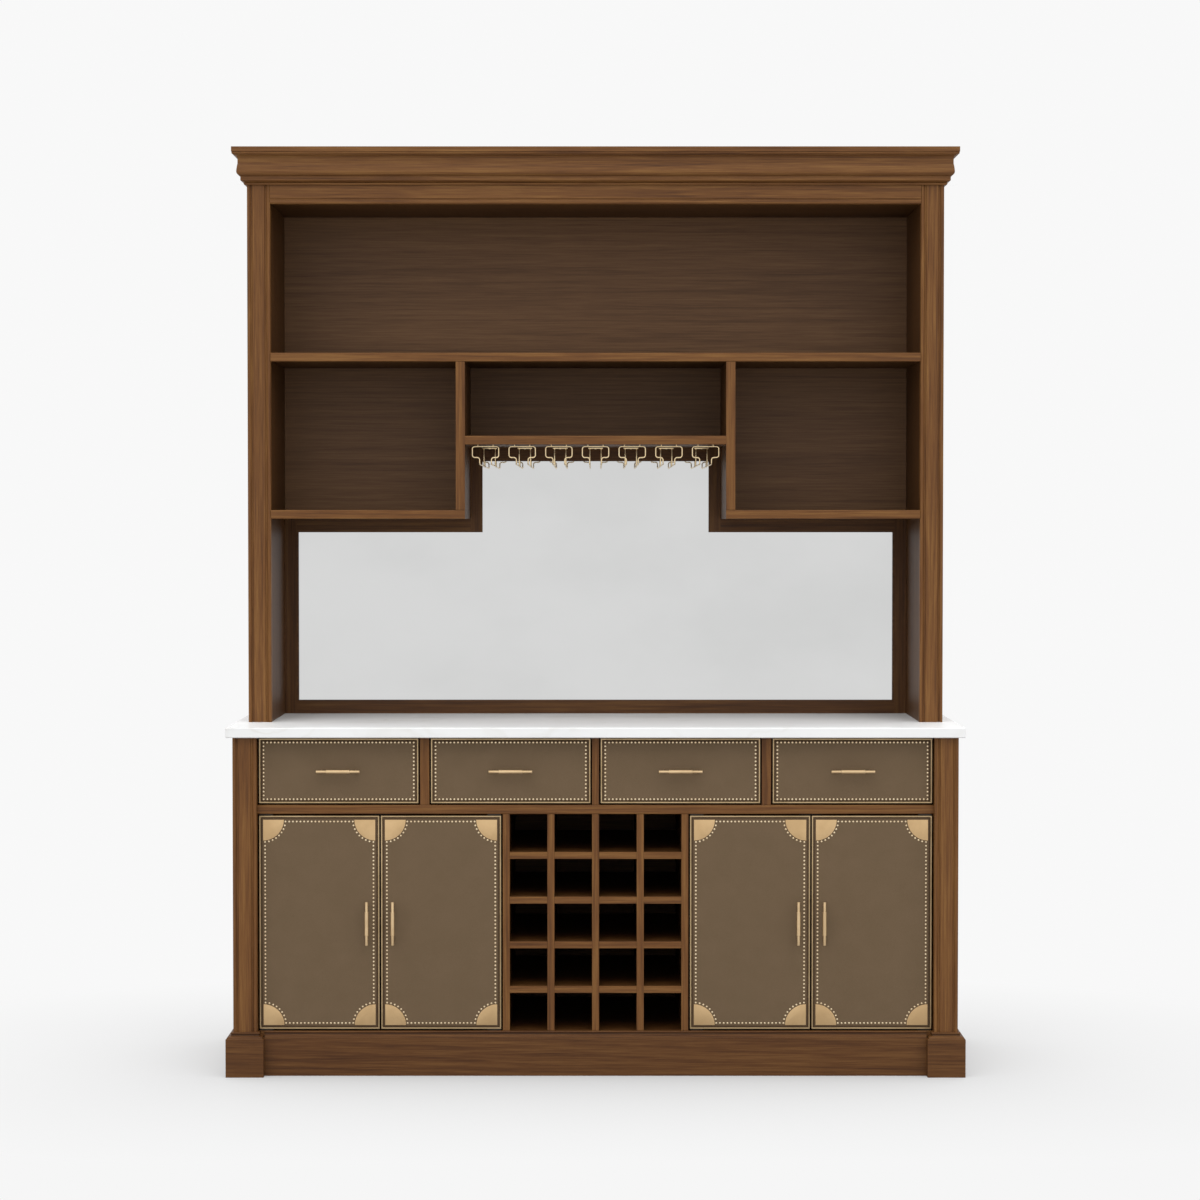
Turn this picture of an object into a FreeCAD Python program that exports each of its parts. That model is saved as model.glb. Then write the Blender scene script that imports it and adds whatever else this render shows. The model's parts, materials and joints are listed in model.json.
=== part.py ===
import FreeCAD, Part
from math import cos, pi
import os

# A tall bar cabinet in two stages: a base with four drawers, four doors and a wine lattice
# under a stone counter, and an open hutch with mirror, shelves and hanging stemware racks.
# Millimetres. X runs to the viewer's right, Y away from the viewer, Z up from the floor.
# The origin is on the floor, at the middle of the width and of the depth.

os.makedirs("parts", exist_ok=True)

# Overall sizes
base_width = 1871.4
base_depth = 557.0
counter_height = 903.0
hutch_width = 1832.8
hutch_setback = 192.0
cabinet_height = 2413.0

# Base carcass
panel_thickness = 22.0
lining_thickness = 18.0
back_thickness = 9.0
base_pilaster_width = 61.7
pilaster_thickness = 25.0
front_setback = 21.0
reveal = 4.2
deck_height = 701.0
deck_thickness = 24.0
top_board_thickness = 20.0
outer_divider_thickness = 24.0
middle_divider_thickness = 18.0
top_board_gap = 3.0

# Pilaster section
bead_width = 9.0
bead_rise = 2.5
flute_width = 6.2
flute_depth = 4.0

# Plinth
plinth_height = 115.0
plinth_projection = 18.0
plinth_moulding_height = 18.0
block_fillet = 1.0
bearer_thickness = 22.0
bearer_spacing = 620.0

# Stone counter
counter_thickness = 26.0
counter_overhang = 16.3
counter_bevel = 1.5

# Wine lattice
lattice_width = 480.0
lattice_side_thickness = 18.0
lattice_upright_thickness = 18.3
lattice_shelf_thickness = 18.0
lattice_columns = 4
lattice_rows = 5

# Cupboards
cupboard_shelf_thickness = 22.0
cupboard_shelf_height = 385.0
cupboard_shelf_setback = 20.0
catch_width = 56.0
catch_depth = 18.0
catch_height = 14.0

# Doors and drawer fronts
front_thickness = 22.0
leather_thickness = 1.5
leather_recess = 0.5
edging_width = 4.6
edging_depth = 4.0
edging_bevel = 1.0
plate_radius = 54.0
plate_inset = 10.3
plate_thickness = 1.2

# Pivot hinges
pivot_edge_distance = 18.0
pivot_face_distance = 9.0
pivot_pin_radius = 3.0
pivot_pin_length = 14.0
pivot_leaf_length = 34.0
pivot_leaf_width = 9.6
pivot_leaf_thickness = 3.0
pin_clearance = 0.1
running_clearance = 0.3

# Pulls
pull_length = 112.5
pull_grip_length = 60.0
pull_grip_radius = 5.4
pull_end_radius = 4.0
pull_post_radius = 2.6
pull_post_spacing = 88.0
pull_shoulder = 1.8
pull_standoff = 26.0
pull_inset = 31.5
pull_sides = 12
pull_post_sides = 6

# Drawer boxes and their runners
drawer_rear_gap = 55.0
drawer_box_height = 132.0
drawer_box_lift = 12.0
drawer_board_thickness = 12.0
drawer_bottom_thickness = 6.0
drawer_bottom_lift = 10.0
drawer_groove_depth = 6.0
runner_height = 45.0
runner_lift = 34.0
runner_width = 12.7
runner_channel_depth = 9.5
runner_metal = 1.5
runner_front_gap = 8.0
runner_rear_gap = 2.0

# Hutch
hutch_pilaster_width = 60.6
hutch_back_thickness = 12.0
hutch_shelf_thickness = 23.6
head_height = 145.4
bay_share = 0.258543
centre_bay_share = 0.129007
frieze_bead = 9.0
frieze_flute = 5.0
frieze_flute_depth = 2.5
ceiling_thickness = 18.0
roof_thickness = 12.0
roof_recess = 15.0
centre_bay_width = 688.0
hutch_divider_thickness = 24.4
shelf_nosing = 3.0

# Cornice
cornice_height = 97.0
cornice_projection = 36.6

# Mirror and its frame
mirror_thickness = 4.0
mirror_rebate = 7.0
frame_thickness = 12.0
frame_width = 37.0
frame_stile_width = 32.5

# Stemware hangers
hanger_count = 7
hanger_pitch = 96.8
hanger_wire_radius = 1.7
hanger_loop_width = 69.6
hanger_neck_width = 31.0
hanger_bend = 4.5
hanger_wire_sides = 8
hanger_drop = 6.0
hanger_shoulder_drop = 27.6
hanger_rail_drop = 18.0
hanger_setback = 13.0
hanger_rear_gap = 40.0
bracket_leg_width = 3.0
bracket_plate_width = 40.0
bracket_plate_depth = 14.0
bracket_plate_thickness = 4.0
stud_radius = 1.5
stud_sides = 6
stud_spacing = 40.0

# Profiles as shares of a moulding's projection and height, from its foot to its top.
# A pair is a corner, and a pair of pairs is an arc's middle and its end.
cornice_shares = [
    (0.0, 0.0), (0.10, 0.0), ((0.20, 0.036), (0.10, 0.072)), ((0.24, 0.085), (0.41, 0.115)),
    (0.41, 0.227), (0.46, 0.238), ((0.61, 0.277), (0.67, 0.361)), ((0.64, 0.46), (0.59, 0.557)),
    (0.59, 0.68), ((0.66, 0.75), (0.87, 0.785)), (0.87, 0.80), ((0.97, 0.83), (0.93, 0.86)),
    (1.0, 0.863), (1.0, 1.0), (0.0, 1.0),
]
plinth_shares = [
    ((0.98, 0.08), (0.92, 0.11)), (0.80, 0.11), (0.80, 0.16), ((0.73, 0.33), (0.50, 0.44)),
    (0.34, 0.44), ((0.24, 0.52), (0.20, 0.72)), ((0.33, 0.85), (0.20, 0.98)), (0.0, 1.0),
]

# How far in from both faces the middle of a rounded corner lies, as a share of its radius
rounding_share = 1 - 0.5 ** 0.5

# Places worked out from the sizes above
face_y = (plinth_projection - base_depth) / 2
front_y = face_y + front_setback
carcass_y = face_y + pilaster_thickness
back_y = face_y + base_depth
back_board_y = back_y - back_thickness
front_back_y = front_y + front_thickness
side_x = base_width / 2
opening_x = side_x - base_pilaster_width
hutch_y = face_y + hutch_setback
hutch_side_x = hutch_width / 2
hutch_opening_x = hutch_side_x - hutch_pilaster_width
hutch_back_y = back_y - hutch_back_thickness
counter_foot = counter_height - counter_thickness
deck_foot = deck_height - deck_thickness
lattice_x = lattice_width / 2
centre_bay_x = centre_bay_width / 2
door_width = (opening_x - lattice_x - 3 * reveal) / 2
door_foot = plinth_height + reveal
door_top = deck_foot - reveal
drawer_foot = deck_height + reveal
drawer_top = counter_foot - reveal
drawer_width = (
    opening_x - middle_divider_thickness / 2 - outer_divider_thickness - 4 * reveal
) / 2
outer_divider_x = middle_divider_thickness / 2 + drawer_width + 2 * reveal
box_half_width = drawer_width / 2 + reveal - runner_width
box_foot = drawer_foot + drawer_box_lift
box_back_y = back_board_y - drawer_rear_gap
hutch_height = cabinet_height - counter_height
bay_height = bay_share * hutch_height
centre_bay_height = centre_bay_share * hutch_height
frieze_foot = cabinet_height - head_height
upper_shelf_foot = frieze_foot - bay_height - hutch_shelf_thickness
side_shelf_foot = upper_shelf_foot - bay_height - hutch_shelf_thickness
centre_shelf_foot = upper_shelf_foot - centre_bay_height - hutch_shelf_thickness
roof_top = cabinet_height - roof_recess
roof_foot = roof_top - roof_thickness
cornice_foot = cabinet_height - cornice_height


def vector(x, y, z):
    return FreeCAD.Vector(x, y, z)


def board(x_from, x_to, y_from, y_to, z_from, z_to):
    """A rectangular board between two opposite corners."""
    return Part.makeBox(x_to - x_from, y_to - y_from, z_to - z_from, vector(x_from, y_from, z_from))


def rod(radius, start, end):
    """A round rod between two points."""
    return Part.makeCylinder(radius, (end - start).Length, start, end - start)


def column(corners, z_from, z_to):
    """An upright prism over corners given in plan."""
    return face_along(corners, lambda x, y: vector(x, y, z_from)).extrude(vector(0, 0, z_to - z_from))


def closed(corners):
    """The closed outline through some corners."""
    return Part.makePolygon(corners + corners[:1])


def ring(centre, along, radius, sides):
    """Corners around a slim round piece, set out so that its flat sides lie at the radius."""
    upright = vector(0, 0, 1) if abs(along.z) < abs(along.y) + abs(along.x) else vector(0, 1, 0)
    spoke = along.cross(upright).normalize() * (radius / cos(pi / sides))
    half_turn = 180
    corners = []
    for corner in range(sides):
        angle = half_turn * (2 * corner + 1) / sides
        corners.append(centre + FreeCAD.Rotation(along, angle).multVec(spoke))
    return corners


def faceted_bar(rings):
    """A slim round bar with a flat face from each ring's sides to the next ring's."""
    faces = [Part.Face(closed(rings[0])), Part.Face(closed(rings[-1]))]
    for near, far in zip(rings, rings[1:]):
        for side in range(len(near)):
            corners = [near[side - 1], near[side], far[side], far[side - 1]]
            faces.append(Part.Face(closed(corners)))
    return Part.Solid(Part.Shell(faces))


def mirrored(shape):
    """The same piece on the other side of the cabinet's middle plane."""
    return shape.mirror(vector(0, 0, 0), vector(1, 0, 0))


def without(shape, tools):
    """A piece with pockets cut for other pieces."""
    for tool in tools:
        shape = shape.cut(tool)
    return shape


def both_sides(*shapes):
    """Each right-hand piece and its left-hand twin."""
    return list(shapes) + [mirrored(shape) for shape in shapes]


def face_along(outline, place):
    """A face from an outline: a pair is a corner, a pair of pairs is an arc's middle and end."""
    edges = []
    here = place(*outline[0])
    start = here
    for step in outline[1:]:
        if isinstance(step[0], tuple):
            middle = place(*step[0])
            end = place(*step[1])
            edges.append(Part.Arc(here, middle, end).toShape())
        else:
            end = place(*step)
            edges.append(Part.LineSegment(here, end).toShape())
        here = end
    edges.append(Part.LineSegment(here, start).toShape())
    return Part.Face(Part.Wire(edges))


def scaled(shares, size):
    """An outline's corners and arcs at their real size."""
    return [
        tuple(size(*point) for point in step) if isinstance(step[0], tuple) else size(*step)
        for step in shares
    ]


def nosed_board(x_from, x_to, y_from, y_to, z_from, z_to):
    """A board across the cabinet whose two front edges are rounded over."""
    inset = shelf_nosing * rounding_share
    outline = [
        (y_to, z_from),
        (y_to, z_to),
        (y_from + shelf_nosing, z_to),
        ((y_from + inset, z_to - inset), (y_from, z_to - shelf_nosing)),
        (y_from, z_from + shelf_nosing),
        ((y_from + inset, z_from + inset), (y_from + shelf_nosing, z_from)),
    ]
    face = face_along(outline, lambda y, z: vector(x_from, y, z))
    return face.extrude(vector(x_to - x_from, 0, 0))


def save(node, pieces):
    """Write one node's separate pieces to its own file."""
    Part.makeCompound(pieces).exportStep(f"parts/{node}.step")


# Mouldings


def pilaster(x_inner, width, y, z_from, z_to):
    """A flat band between two flutes, with a bead on each edge."""
    x_outer = x_inner + width
    fluted = bead_width + flute_width
    outline = [
        (x_inner, y + pilaster_thickness),
        (x_inner, y + bead_rise),
        ((x_inner + bead_width / 2, y), (x_inner + bead_width, y + bead_rise)),
        ((x_inner + bead_width + flute_width / 2, y + flute_depth), (x_inner + fluted, y)),
        (x_outer - fluted, y),
        (
            (x_outer - bead_width - flute_width / 2, y + flute_depth),
            (x_outer - bead_width, y + bead_rise),
        ),
        ((x_outer - bead_width / 2, y), (x_outer, y + bead_rise)),
        (x_outer, y + pilaster_thickness),
    ]
    face = face_along(outline, lambda across, along: vector(across, along, z_from))
    return face.extrude(vector(0, 0, z_to - z_from))


def plinth_outline(fillet, width):
    """A plinth's section, outward from the face that it lies on: a tall face under the moulding."""
    face_height = plinth_height - plinth_moulding_height

    def moulded(out, up):
        return (
            fillet + out * (plinth_projection - fillet),
            face_height + up * plinth_moulding_height,
        )

    outline = [
        (plinth_projection - width, 0),
        (plinth_projection, 0),
        (plinth_projection, face_height),
    ]
    outline += scaled(plinth_shares, moulded)
    outline.append((plinth_projection - width, plinth_height))
    return outline


def plinth_corner_block():
    """The block under the right pilaster, its moulding mitred round the front and both sides."""
    x_inner = opening_x - plinth_projection
    x_outer = side_x + plinth_projection
    y_front = face_y - plinth_projection
    depth = carcass_y - y_front
    outline = plinth_outline(block_fillet, depth)
    front = face_along(outline, lambda out, z: vector(x_inner, face_y - out, z))
    outer = face_along(outline, lambda out, z: vector(side_x + out, carcass_y, z))
    inner = face_along(outline, lambda out, z: vector(opening_x - out, carcass_y, z))
    outer_corner = [(x_outer, y_front), (x_outer, carcass_y), (x_outer - depth, carcass_y)]
    inner_corner = [(x_inner, y_front), (x_inner, carcass_y), (x_inner + depth, carcass_y)]
    outer_corner = column(outer_corner, 0, plinth_height)
    inner_corner = column(inner_corner, 0, plinth_height)
    block = front.extrude(vector(x_outer - x_inner, 0, 0)).cut(outer_corner).cut(inner_corner)
    outer = outer.extrude(vector(0, -depth, 0)).common(outer_corner)
    inner = inner.extrude(vector(0, -depth, 0)).common(inner_corner)
    return block.fuse([outer, inner]).removeSplitter()


def plinth_boards():
    """Moulded boards on the front and sides, with a rear board and two bearers inside them."""
    block_x = opening_x - plinth_projection
    front = face_along(
        plinth_outline(carcass_y - front_y, plinth_projection),
        lambda out, z: vector(-block_x, carcass_y - out, z),
    ).extrude(vector(2 * block_x, 0, 0))
    side = face_along(
        plinth_outline(block_fillet, plinth_projection),
        lambda out, z: vector(side_x + out, carcass_y, z),
    )
    floor_foot = plinth_height - panel_thickness
    inner_x = side_x - panel_thickness
    rear = board(-inner_x, inner_x, back_board_y - bearer_thickness, back_board_y, 0, floor_foot)
    bearer = board(
        bearer_spacing / 2,
        bearer_spacing / 2 + bearer_thickness,
        carcass_y,
        back_board_y - bearer_thickness,
        0,
        floor_foot,
    )
    return (
        [without(front, pivot_leaves(plinth_height, -1))]
        + both_sides(side.extrude(vector(0, back_y - carcass_y, 0)))
        + [rear]
        + both_sides(bearer)
    )


def cornice():
    """Three mitred lengths of crown moulding: a front and two returns."""
    outline = scaled(
        cornice_shares, lambda out, up: (out * cornice_projection, up * cornice_height)
    )
    end_x = hutch_side_x + cornice_projection
    end_y = hutch_y - cornice_projection
    front = face_along(outline, lambda out, up: vector(-end_x, hutch_y - out, cornice_foot + up))
    side = face_along(outline, lambda out, up: vector(hutch_side_x + out, end_y, cornice_foot + up))
    front = front.extrude(vector(2 * end_x, 0, 0))
    side = side.extrude(vector(0, back_y - end_y, 0))
    corner = [
        (hutch_side_x, hutch_y),
        (end_x, end_y),
        (end_x, back_y),
        (hutch_side_x, back_y),
    ]
    wedge = column(corner, cornice_foot, cabinet_height)
    return [front.cut(wedge).cut(mirrored(wedge))] + both_sides(side.common(wedge))


# Base carcass


def base_side_walls():
    """Outer end panels down to the floor, and linings that the drawers and doors work against."""
    outer = board(side_x - panel_thickness, side_x, carcass_y, back_y, 0, counter_foot)
    lining = board(
        opening_x, opening_x + lining_thickness, carcass_y, back_board_y, plinth_height, counter_foot
    )
    return both_sides(outer, lining)


def base_bottom():
    inner_x = side_x - panel_thickness
    floor = board(
        -inner_x, inner_x, carcass_y, back_board_y, plinth_height - panel_thickness, plinth_height
    )
    return without(floor, pivot_leaves(plinth_height, -1))


def drawer_deck():
    """The full-depth board between drawers and cupboards; its front edge is the mid rail."""
    deck = nosed_board(-opening_x, opening_x, front_y, back_board_y, deck_foot, deck_height)
    return without(deck, pivot_leaves(deck_foot, 1))


def drawer_dividers():
    """Three uprights between the drawers, notched behind for the top board."""
    notch_y = front_back_y + top_board_gap
    dividers = []
    for middle, thickness in (
        (-outer_divider_x - outer_divider_thickness / 2, outer_divider_thickness),
        (0, middle_divider_thickness),
        (outer_divider_x + outer_divider_thickness / 2, outer_divider_thickness),
    ):
        left = middle - thickness / 2
        right = middle + thickness / 2
        upright = board(left, right, front_y, back_board_y, deck_height, counter_foot)
        notch = board(left, right, notch_y, back_board_y, counter_foot - top_board_thickness, counter_foot)
        dividers.append(upright.cut(notch))
    return dividers


def base_top():
    return board(
        -opening_x,
        opening_x,
        front_back_y + top_board_gap,
        back_board_y,
        counter_foot - top_board_thickness,
        counter_foot,
    )


def base_back():
    inner_x = side_x - panel_thickness
    return board(-inner_x, inner_x, back_board_y, back_y, 0, counter_foot)


def countertop():
    """A stone slab with eased edges, over the carcass on three sides and flush at the back."""
    slab = board(
        -side_x - counter_overhang,
        side_x + counter_overhang,
        face_y - counter_overhang,
        back_y,
        counter_foot,
        counter_height,
    )
    eased = [edge for edge in slab.Edges if edge.BoundBox.YMin < back_y - counter_bevel]
    return slab.makeChamfer(counter_bevel, eased)


# Wine lattice


def lattice_cell_width():
    inside = lattice_width - 2 * lattice_side_thickness
    return (inside - (lattice_columns - 1) * lattice_upright_thickness) / lattice_columns


def lattice_cell_height():
    inside = deck_foot - plinth_height
    return (inside - (lattice_rows - 1) * lattice_shelf_thickness) / lattice_rows


def upright_lefts():
    pitch = lattice_cell_width() + lattice_upright_thickness
    first = lattice_cell_width() - lattice_x + lattice_side_thickness
    return [first + pitch * column for column in range(lattice_columns - 1)]


def shelf_feet():
    pitch = lattice_cell_height() + lattice_shelf_thickness
    first = plinth_height + lattice_cell_height()
    return [first + pitch * row for row in range(lattice_rows - 1)]


def rack_partitions():
    return both_sides(
        board(
            lattice_x - lattice_side_thickness, lattice_x, front_y, back_board_y, plinth_height, deck_foot
        )
    )


def rack_uprights():
    """Uprights slotted from the back, so that they slide over the shelves."""
    halving_y = (front_y + back_board_y) / 2
    uprights = []
    for left in upright_lefts():
        right = left + lattice_upright_thickness
        upright = board(left, right, front_y, back_board_y, plinth_height, deck_foot)
        for foot in shelf_feet():
            slot = board(left, right, halving_y, back_board_y, foot, foot + lattice_shelf_thickness)
            upright = upright.cut(slot)
        uprights.append(upright)
    return uprights


def rack_shelves():
    """Shelves slotted from the front, each half the depth of the crossing."""
    halving_y = (front_y + back_board_y) / 2
    inner_x = lattice_x - lattice_side_thickness
    shelves = []
    for foot in shelf_feet():
        top = foot + lattice_shelf_thickness
        shelf = board(-inner_x, inner_x, front_y, back_board_y, foot, top)
        for left in upright_lefts():
            slot = board(left, left + lattice_upright_thickness, front_y, halving_y, foot, top)
            shelf = shelf.cut(slot)
        shelves.append(shelf)
    return shelves


def cupboard_shelves():
    return both_sides(
        board(
            lattice_x,
            opening_x,
            front_back_y + cupboard_shelf_setback,
            back_board_y,
            cupboard_shelf_height,
            cupboard_shelf_height + cupboard_shelf_thickness,
        )
    )


# Doors


def door_lefts():
    """The left edge of each of the four doors, from the viewer's left."""
    outer = opening_x - reveal - door_width
    inner = lattice_x + reveal
    return [-outer - door_width, -inner - door_width, inner, outer]


def pivot_places():
    """Each door turns on pins near its outer or lattice edge: doors 1 and 3 left, 2 and 4 right."""
    y = front_y + pivot_face_distance
    places = []
    for number, left in enumerate(door_lefts()):
        if number % 2 == 0:
            places.append((left + pivot_edge_distance, y))
        else:
            places.append((left + door_width - pivot_edge_distance, y))
    return places


def pivot_leaves(level, into):
    """The pivots' metal leaves, let into the board at that level and proud enough to carry a door."""
    proud = reveal - running_clearance
    z_from, z_to = sorted((level + into * pivot_leaf_thickness, level - into * proud))
    return [
        board(
            x - pivot_leaf_length / 2,
            x + pivot_leaf_length / 2,
            y - pivot_leaf_width / 2,
            y + pivot_leaf_width / 2,
            z_from,
            z_to,
        )
        for x, y in pivot_places()
    ]


def door_pivots():
    """A leaf with a pin above and below each door."""
    pivots = []
    for level, into in ((plinth_height, -1), (deck_foot, 1)):
        leaf_end = level - into * (reveal - running_clearance)
        pin_end = leaf_end - into * pivot_pin_length
        for (x, y), leaf in zip(pivot_places(), pivot_leaves(level, into)):
            pin = rod(pivot_pin_radius, vector(x, y, leaf_end), vector(x, y, pin_end))
            pivots.append(leaf.fuse(pin))
    return pivots


def door_catches():
    """A magnet block under the deck behind each pair of doors, which they close against."""
    middle = (opening_x + lattice_x) / 2
    stop_y = front_back_y + running_clearance
    return both_sides(
        board(
            middle - catch_width / 2,
            middle + catch_width / 2,
            stop_y,
            stop_y + catch_depth,
            deck_foot - catch_height,
            deck_foot,
        )
    )


def front_panel(left, right, foot, top):
    """A wooden core, rebated for its metal edging, and the leather laid in front of it."""
    leather_y = front_y + leather_recess
    core_y = leather_y + leather_thickness
    inset = edging_width
    core = board(left, right, front_y + edging_depth, front_back_y, foot, top)
    raised = board(
        left + inset, right - inset, core_y, front_y + edging_depth, foot + inset, top - inset
    )
    leather = board(left + inset, right - inset, leather_y, core_y, foot + inset, top - inset)
    return core.fuse(raised).removeSplitter(), leather


def edging(left, right, foot, top):
    """A metal edging round the front, mitred at its corners and bevelled outside."""
    ring = board(left, right, front_y, front_y + edging_depth, foot, top)
    outline = [
        edge
        for edge in ring.Edges
        if edge.BoundBox.YMax < front_y + edging_depth / 2
    ]
    ring = ring.makeChamfer(edging_bevel, outline)
    inside = board(
        left + edging_width,
        right - edging_width,
        front_y - edging_depth,
        front_y + 2 * edging_depth,
        foot + edging_width,
        top - edging_width,
    )
    return ring.cut(inside)


def corner_plate(x, z, to_x, to_z):
    """A quarter disc of sheet metal, its square corner towards the door's corner."""
    half_chord_share = 0.5 ** 0.5
    reach = plate_radius * half_chord_share
    outline = [
        (x, z),
        (x + to_x * plate_radius, z),
        ((x + to_x * reach, z + to_z * reach), (x, z + to_z * plate_radius)),
    ]
    y = front_y + leather_recess
    face = face_along(outline, lambda across, up: vector(across, y, up))
    return face.extrude(vector(0, -plate_thickness, 0))


def door_panel(left, pivot_x):
    core, leather = front_panel(left, left + door_width, door_foot, door_top)
    y = front_y + pivot_face_distance
    bore = pivot_pin_radius + pin_clearance
    depth = pivot_pin_length + running_clearance
    core = core.cut(rod(bore, vector(pivot_x, y, door_foot), vector(pivot_x, y, door_foot + depth)))
    core = core.cut(rod(bore, vector(pivot_x, y, door_top), vector(pivot_x, y, door_top - depth)))
    return [core, leather]


def door_trim(left):
    right = left + door_width
    pieces = [edging(left, right, door_foot, door_top)]
    for x, to_x in ((left + plate_inset, 1), (right - plate_inset, -1)):
        for z, to_z in ((door_foot + plate_inset, 1), (door_top - plate_inset, -1)):
            pieces.append(corner_plate(x, z, to_x, to_z))
    return pieces


def pull(x, z, along):
    """A slim turned bar with a thicker grip, on two posts that stand on the leather."""
    half_grip = pull_grip_length / 2
    half_bar = pull_length / 2
    stations = [
        (-half_bar, pull_end_radius),
        (-half_grip - pull_shoulder, pull_end_radius),
        (-half_grip, pull_grip_radius),
        (half_grip, pull_grip_radius),
        (half_grip + pull_shoulder, pull_end_radius),
        (half_bar, pull_end_radius),
    ]
    centre = vector(x, front_y + leather_recess - pull_standoff, z)
    bar = faceted_bar(
        [ring(centre + along * at, along, radius, pull_sides) for at, radius in stations]
    )
    inward = vector(0, 1, 0)
    posts = []
    for side in (-1, 1):
        start = centre + along * (side * pull_post_spacing / 2)
        ends = (start, start + inward * pull_standoff)
        posts.append(
            faceted_bar([ring(end, inward, pull_post_radius, pull_post_sides) for end in ends])
        )
    return bar.fuse(posts).removeSplitter()


# Drawers


def drawer_middles():
    """The middle of each of the four drawers, from the viewer's left."""
    inner = middle_divider_thickness / 2 + reveal + drawer_width / 2
    outer = opening_x - reveal - drawer_width / 2
    return [-outer, -inner, inner, outer]


def drawer_box(middle):
    """Two grooved sides, an inner front, a back and a bottom held in the grooves."""
    top = box_foot + drawer_box_height
    bottom_z = box_foot + drawer_bottom_lift
    inner = box_half_width - drawer_board_thickness
    held = inner + drawer_groove_depth
    bottom = board(
        middle - held,
        middle + held,
        front_back_y + drawer_board_thickness,
        box_back_y - drawer_board_thickness,
        bottom_z,
        bottom_z + drawer_bottom_thickness,
    )
    sides = []
    for outer_x, inner_x in ((-box_half_width, -inner), (inner, box_half_width)):
        side = board(middle + outer_x, middle + inner_x, front_back_y, box_back_y, box_foot, top)
        sides.append(side.cut(bottom))
    ends = []
    for y in (front_back_y, box_back_y - drawer_board_thickness):
        ends.append(
            board(middle - inner, middle + inner, y, y + drawer_board_thickness, box_foot, top)
        )
    return sides + ends + [bottom]


def runner_section(web_x, out, depth, foot, top):
    """A channel of bent metal: a web at web_x and two flanges that reach out from it."""
    y_from = front_back_y + runner_front_gap
    y_to = box_back_y - runner_rear_gap
    start, end = sorted((web_x, web_x + out * depth))
    hollow_start, hollow_end = sorted((web_x + out * runner_metal, web_x + out * 2 * depth))
    whole = board(start, end, y_from, y_to, foot, top)
    hollow = board(hollow_start, hollow_end, y_from, y_to, foot + runner_metal, top - runner_metal)
    return whole.cut(hollow)


def drawer_runners():
    """The channels fixed to the linings and dividers, open towards the drawers."""
    foot = drawer_foot + runner_lift
    channels = []
    for middle in drawer_middles():
        for side in (-1, 1):
            wall_x = middle + side * (box_half_width + runner_width)
            channels.append(
                runner_section(wall_x, -side, runner_channel_depth, foot, foot + runner_height)
            )
    return channels


def drawer_slides(middle):
    """The channels on the drawer's sides, which run inside the fixed ones."""
    inset = runner_metal + running_clearance
    foot = drawer_foot + runner_lift + inset
    top = drawer_foot + runner_lift + runner_height - inset
    depth = runner_width - inset
    return [
        runner_section(middle + side * box_half_width, side, depth, foot, top) for side in (-1, 1)
    ]


# Hutch


def hutch_side_walls():
    """Outer end panels and inner linings, as thick together as the pilasters in front of them."""
    y = hutch_y + pilaster_thickness
    outer = board(hutch_side_x - panel_thickness, hutch_side_x, y, back_y, counter_height, roof_foot)
    lining = board(
        hutch_opening_x,
        hutch_opening_x + lining_thickness,
        y,
        hutch_back_y,
        counter_height,
        roof_foot,
    )
    return both_sides(outer, lining)


def hutch_frieze():
    """The rail over the open bays, with a flute that leaves a bead along its lower edge."""
    y = hutch_y
    flute_foot = frieze_foot + frieze_bead
    flute_top = flute_foot + frieze_flute
    outline = [
        (y + pilaster_thickness, frieze_foot),
        (y + frieze_flute_depth, frieze_foot),
        ((y, frieze_foot + frieze_bead / 2), (y + frieze_flute_depth / 2, flute_foot)),
        ((y + frieze_flute_depth, flute_foot + frieze_flute / 2), (y, flute_top)),
        (y, roof_foot),
        (y + pilaster_thickness, roof_foot),
    ]
    face = face_along(outline, lambda across, up: vector(-hutch_opening_x, across, up))
    return face.extrude(vector(2 * hutch_opening_x, 0, 0))


def hutch_top_boards():
    """The ceiling over the bays and the roof that closes the cornice."""
    ceiling = board(
        -hutch_opening_x,
        hutch_opening_x,
        hutch_y + pilaster_thickness,
        hutch_back_y,
        frieze_foot,
        frieze_foot + ceiling_thickness,
    )
    roof = board(-hutch_side_x, hutch_side_x, hutch_y, back_y, roof_foot, roof_top)
    return [ceiling, roof]


def hutch_shelves():
    """A shelf across, one in each side bay and one between the dividers."""
    levels = (
        (-hutch_opening_x, hutch_opening_x, upper_shelf_foot),
        (-hutch_opening_x, -centre_bay_x, side_shelf_foot),
        (centre_bay_x, hutch_opening_x, side_shelf_foot),
        (-centre_bay_x, centre_bay_x, centre_shelf_foot),
    )
    return [
        nosed_board(left, right, hutch_y, hutch_back_y, foot, foot + hutch_shelf_thickness)
        for left, right, foot in levels
    ]


def hutch_dividers():
    """Uprights that stand on the side shelves and carry the centre shelf."""
    return both_sides(
        board(
            centre_bay_x,
            centre_bay_x + hutch_divider_thickness,
            hutch_y,
            hutch_back_y,
            side_shelf_foot + hutch_shelf_thickness,
            upper_shelf_foot,
        )
    )


def hutch_back():
    inner_x = hutch_side_x - panel_thickness
    return board(-inner_x, inner_x, hutch_back_y, back_y, counter_height, roof_foot)


def mirror_rectangles():
    """The mirror's sight size: a wide lower part and a narrower part between the dividers."""
    wide_x = hutch_opening_x - frame_width
    narrow_x = centre_bay_x - frame_stile_width
    foot = counter_height + frame_width
    return [
        (wide_x, foot, side_shelf_foot - frame_width),
        (narrow_x, foot, centre_shelf_foot - frame_width),
    ]


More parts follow.
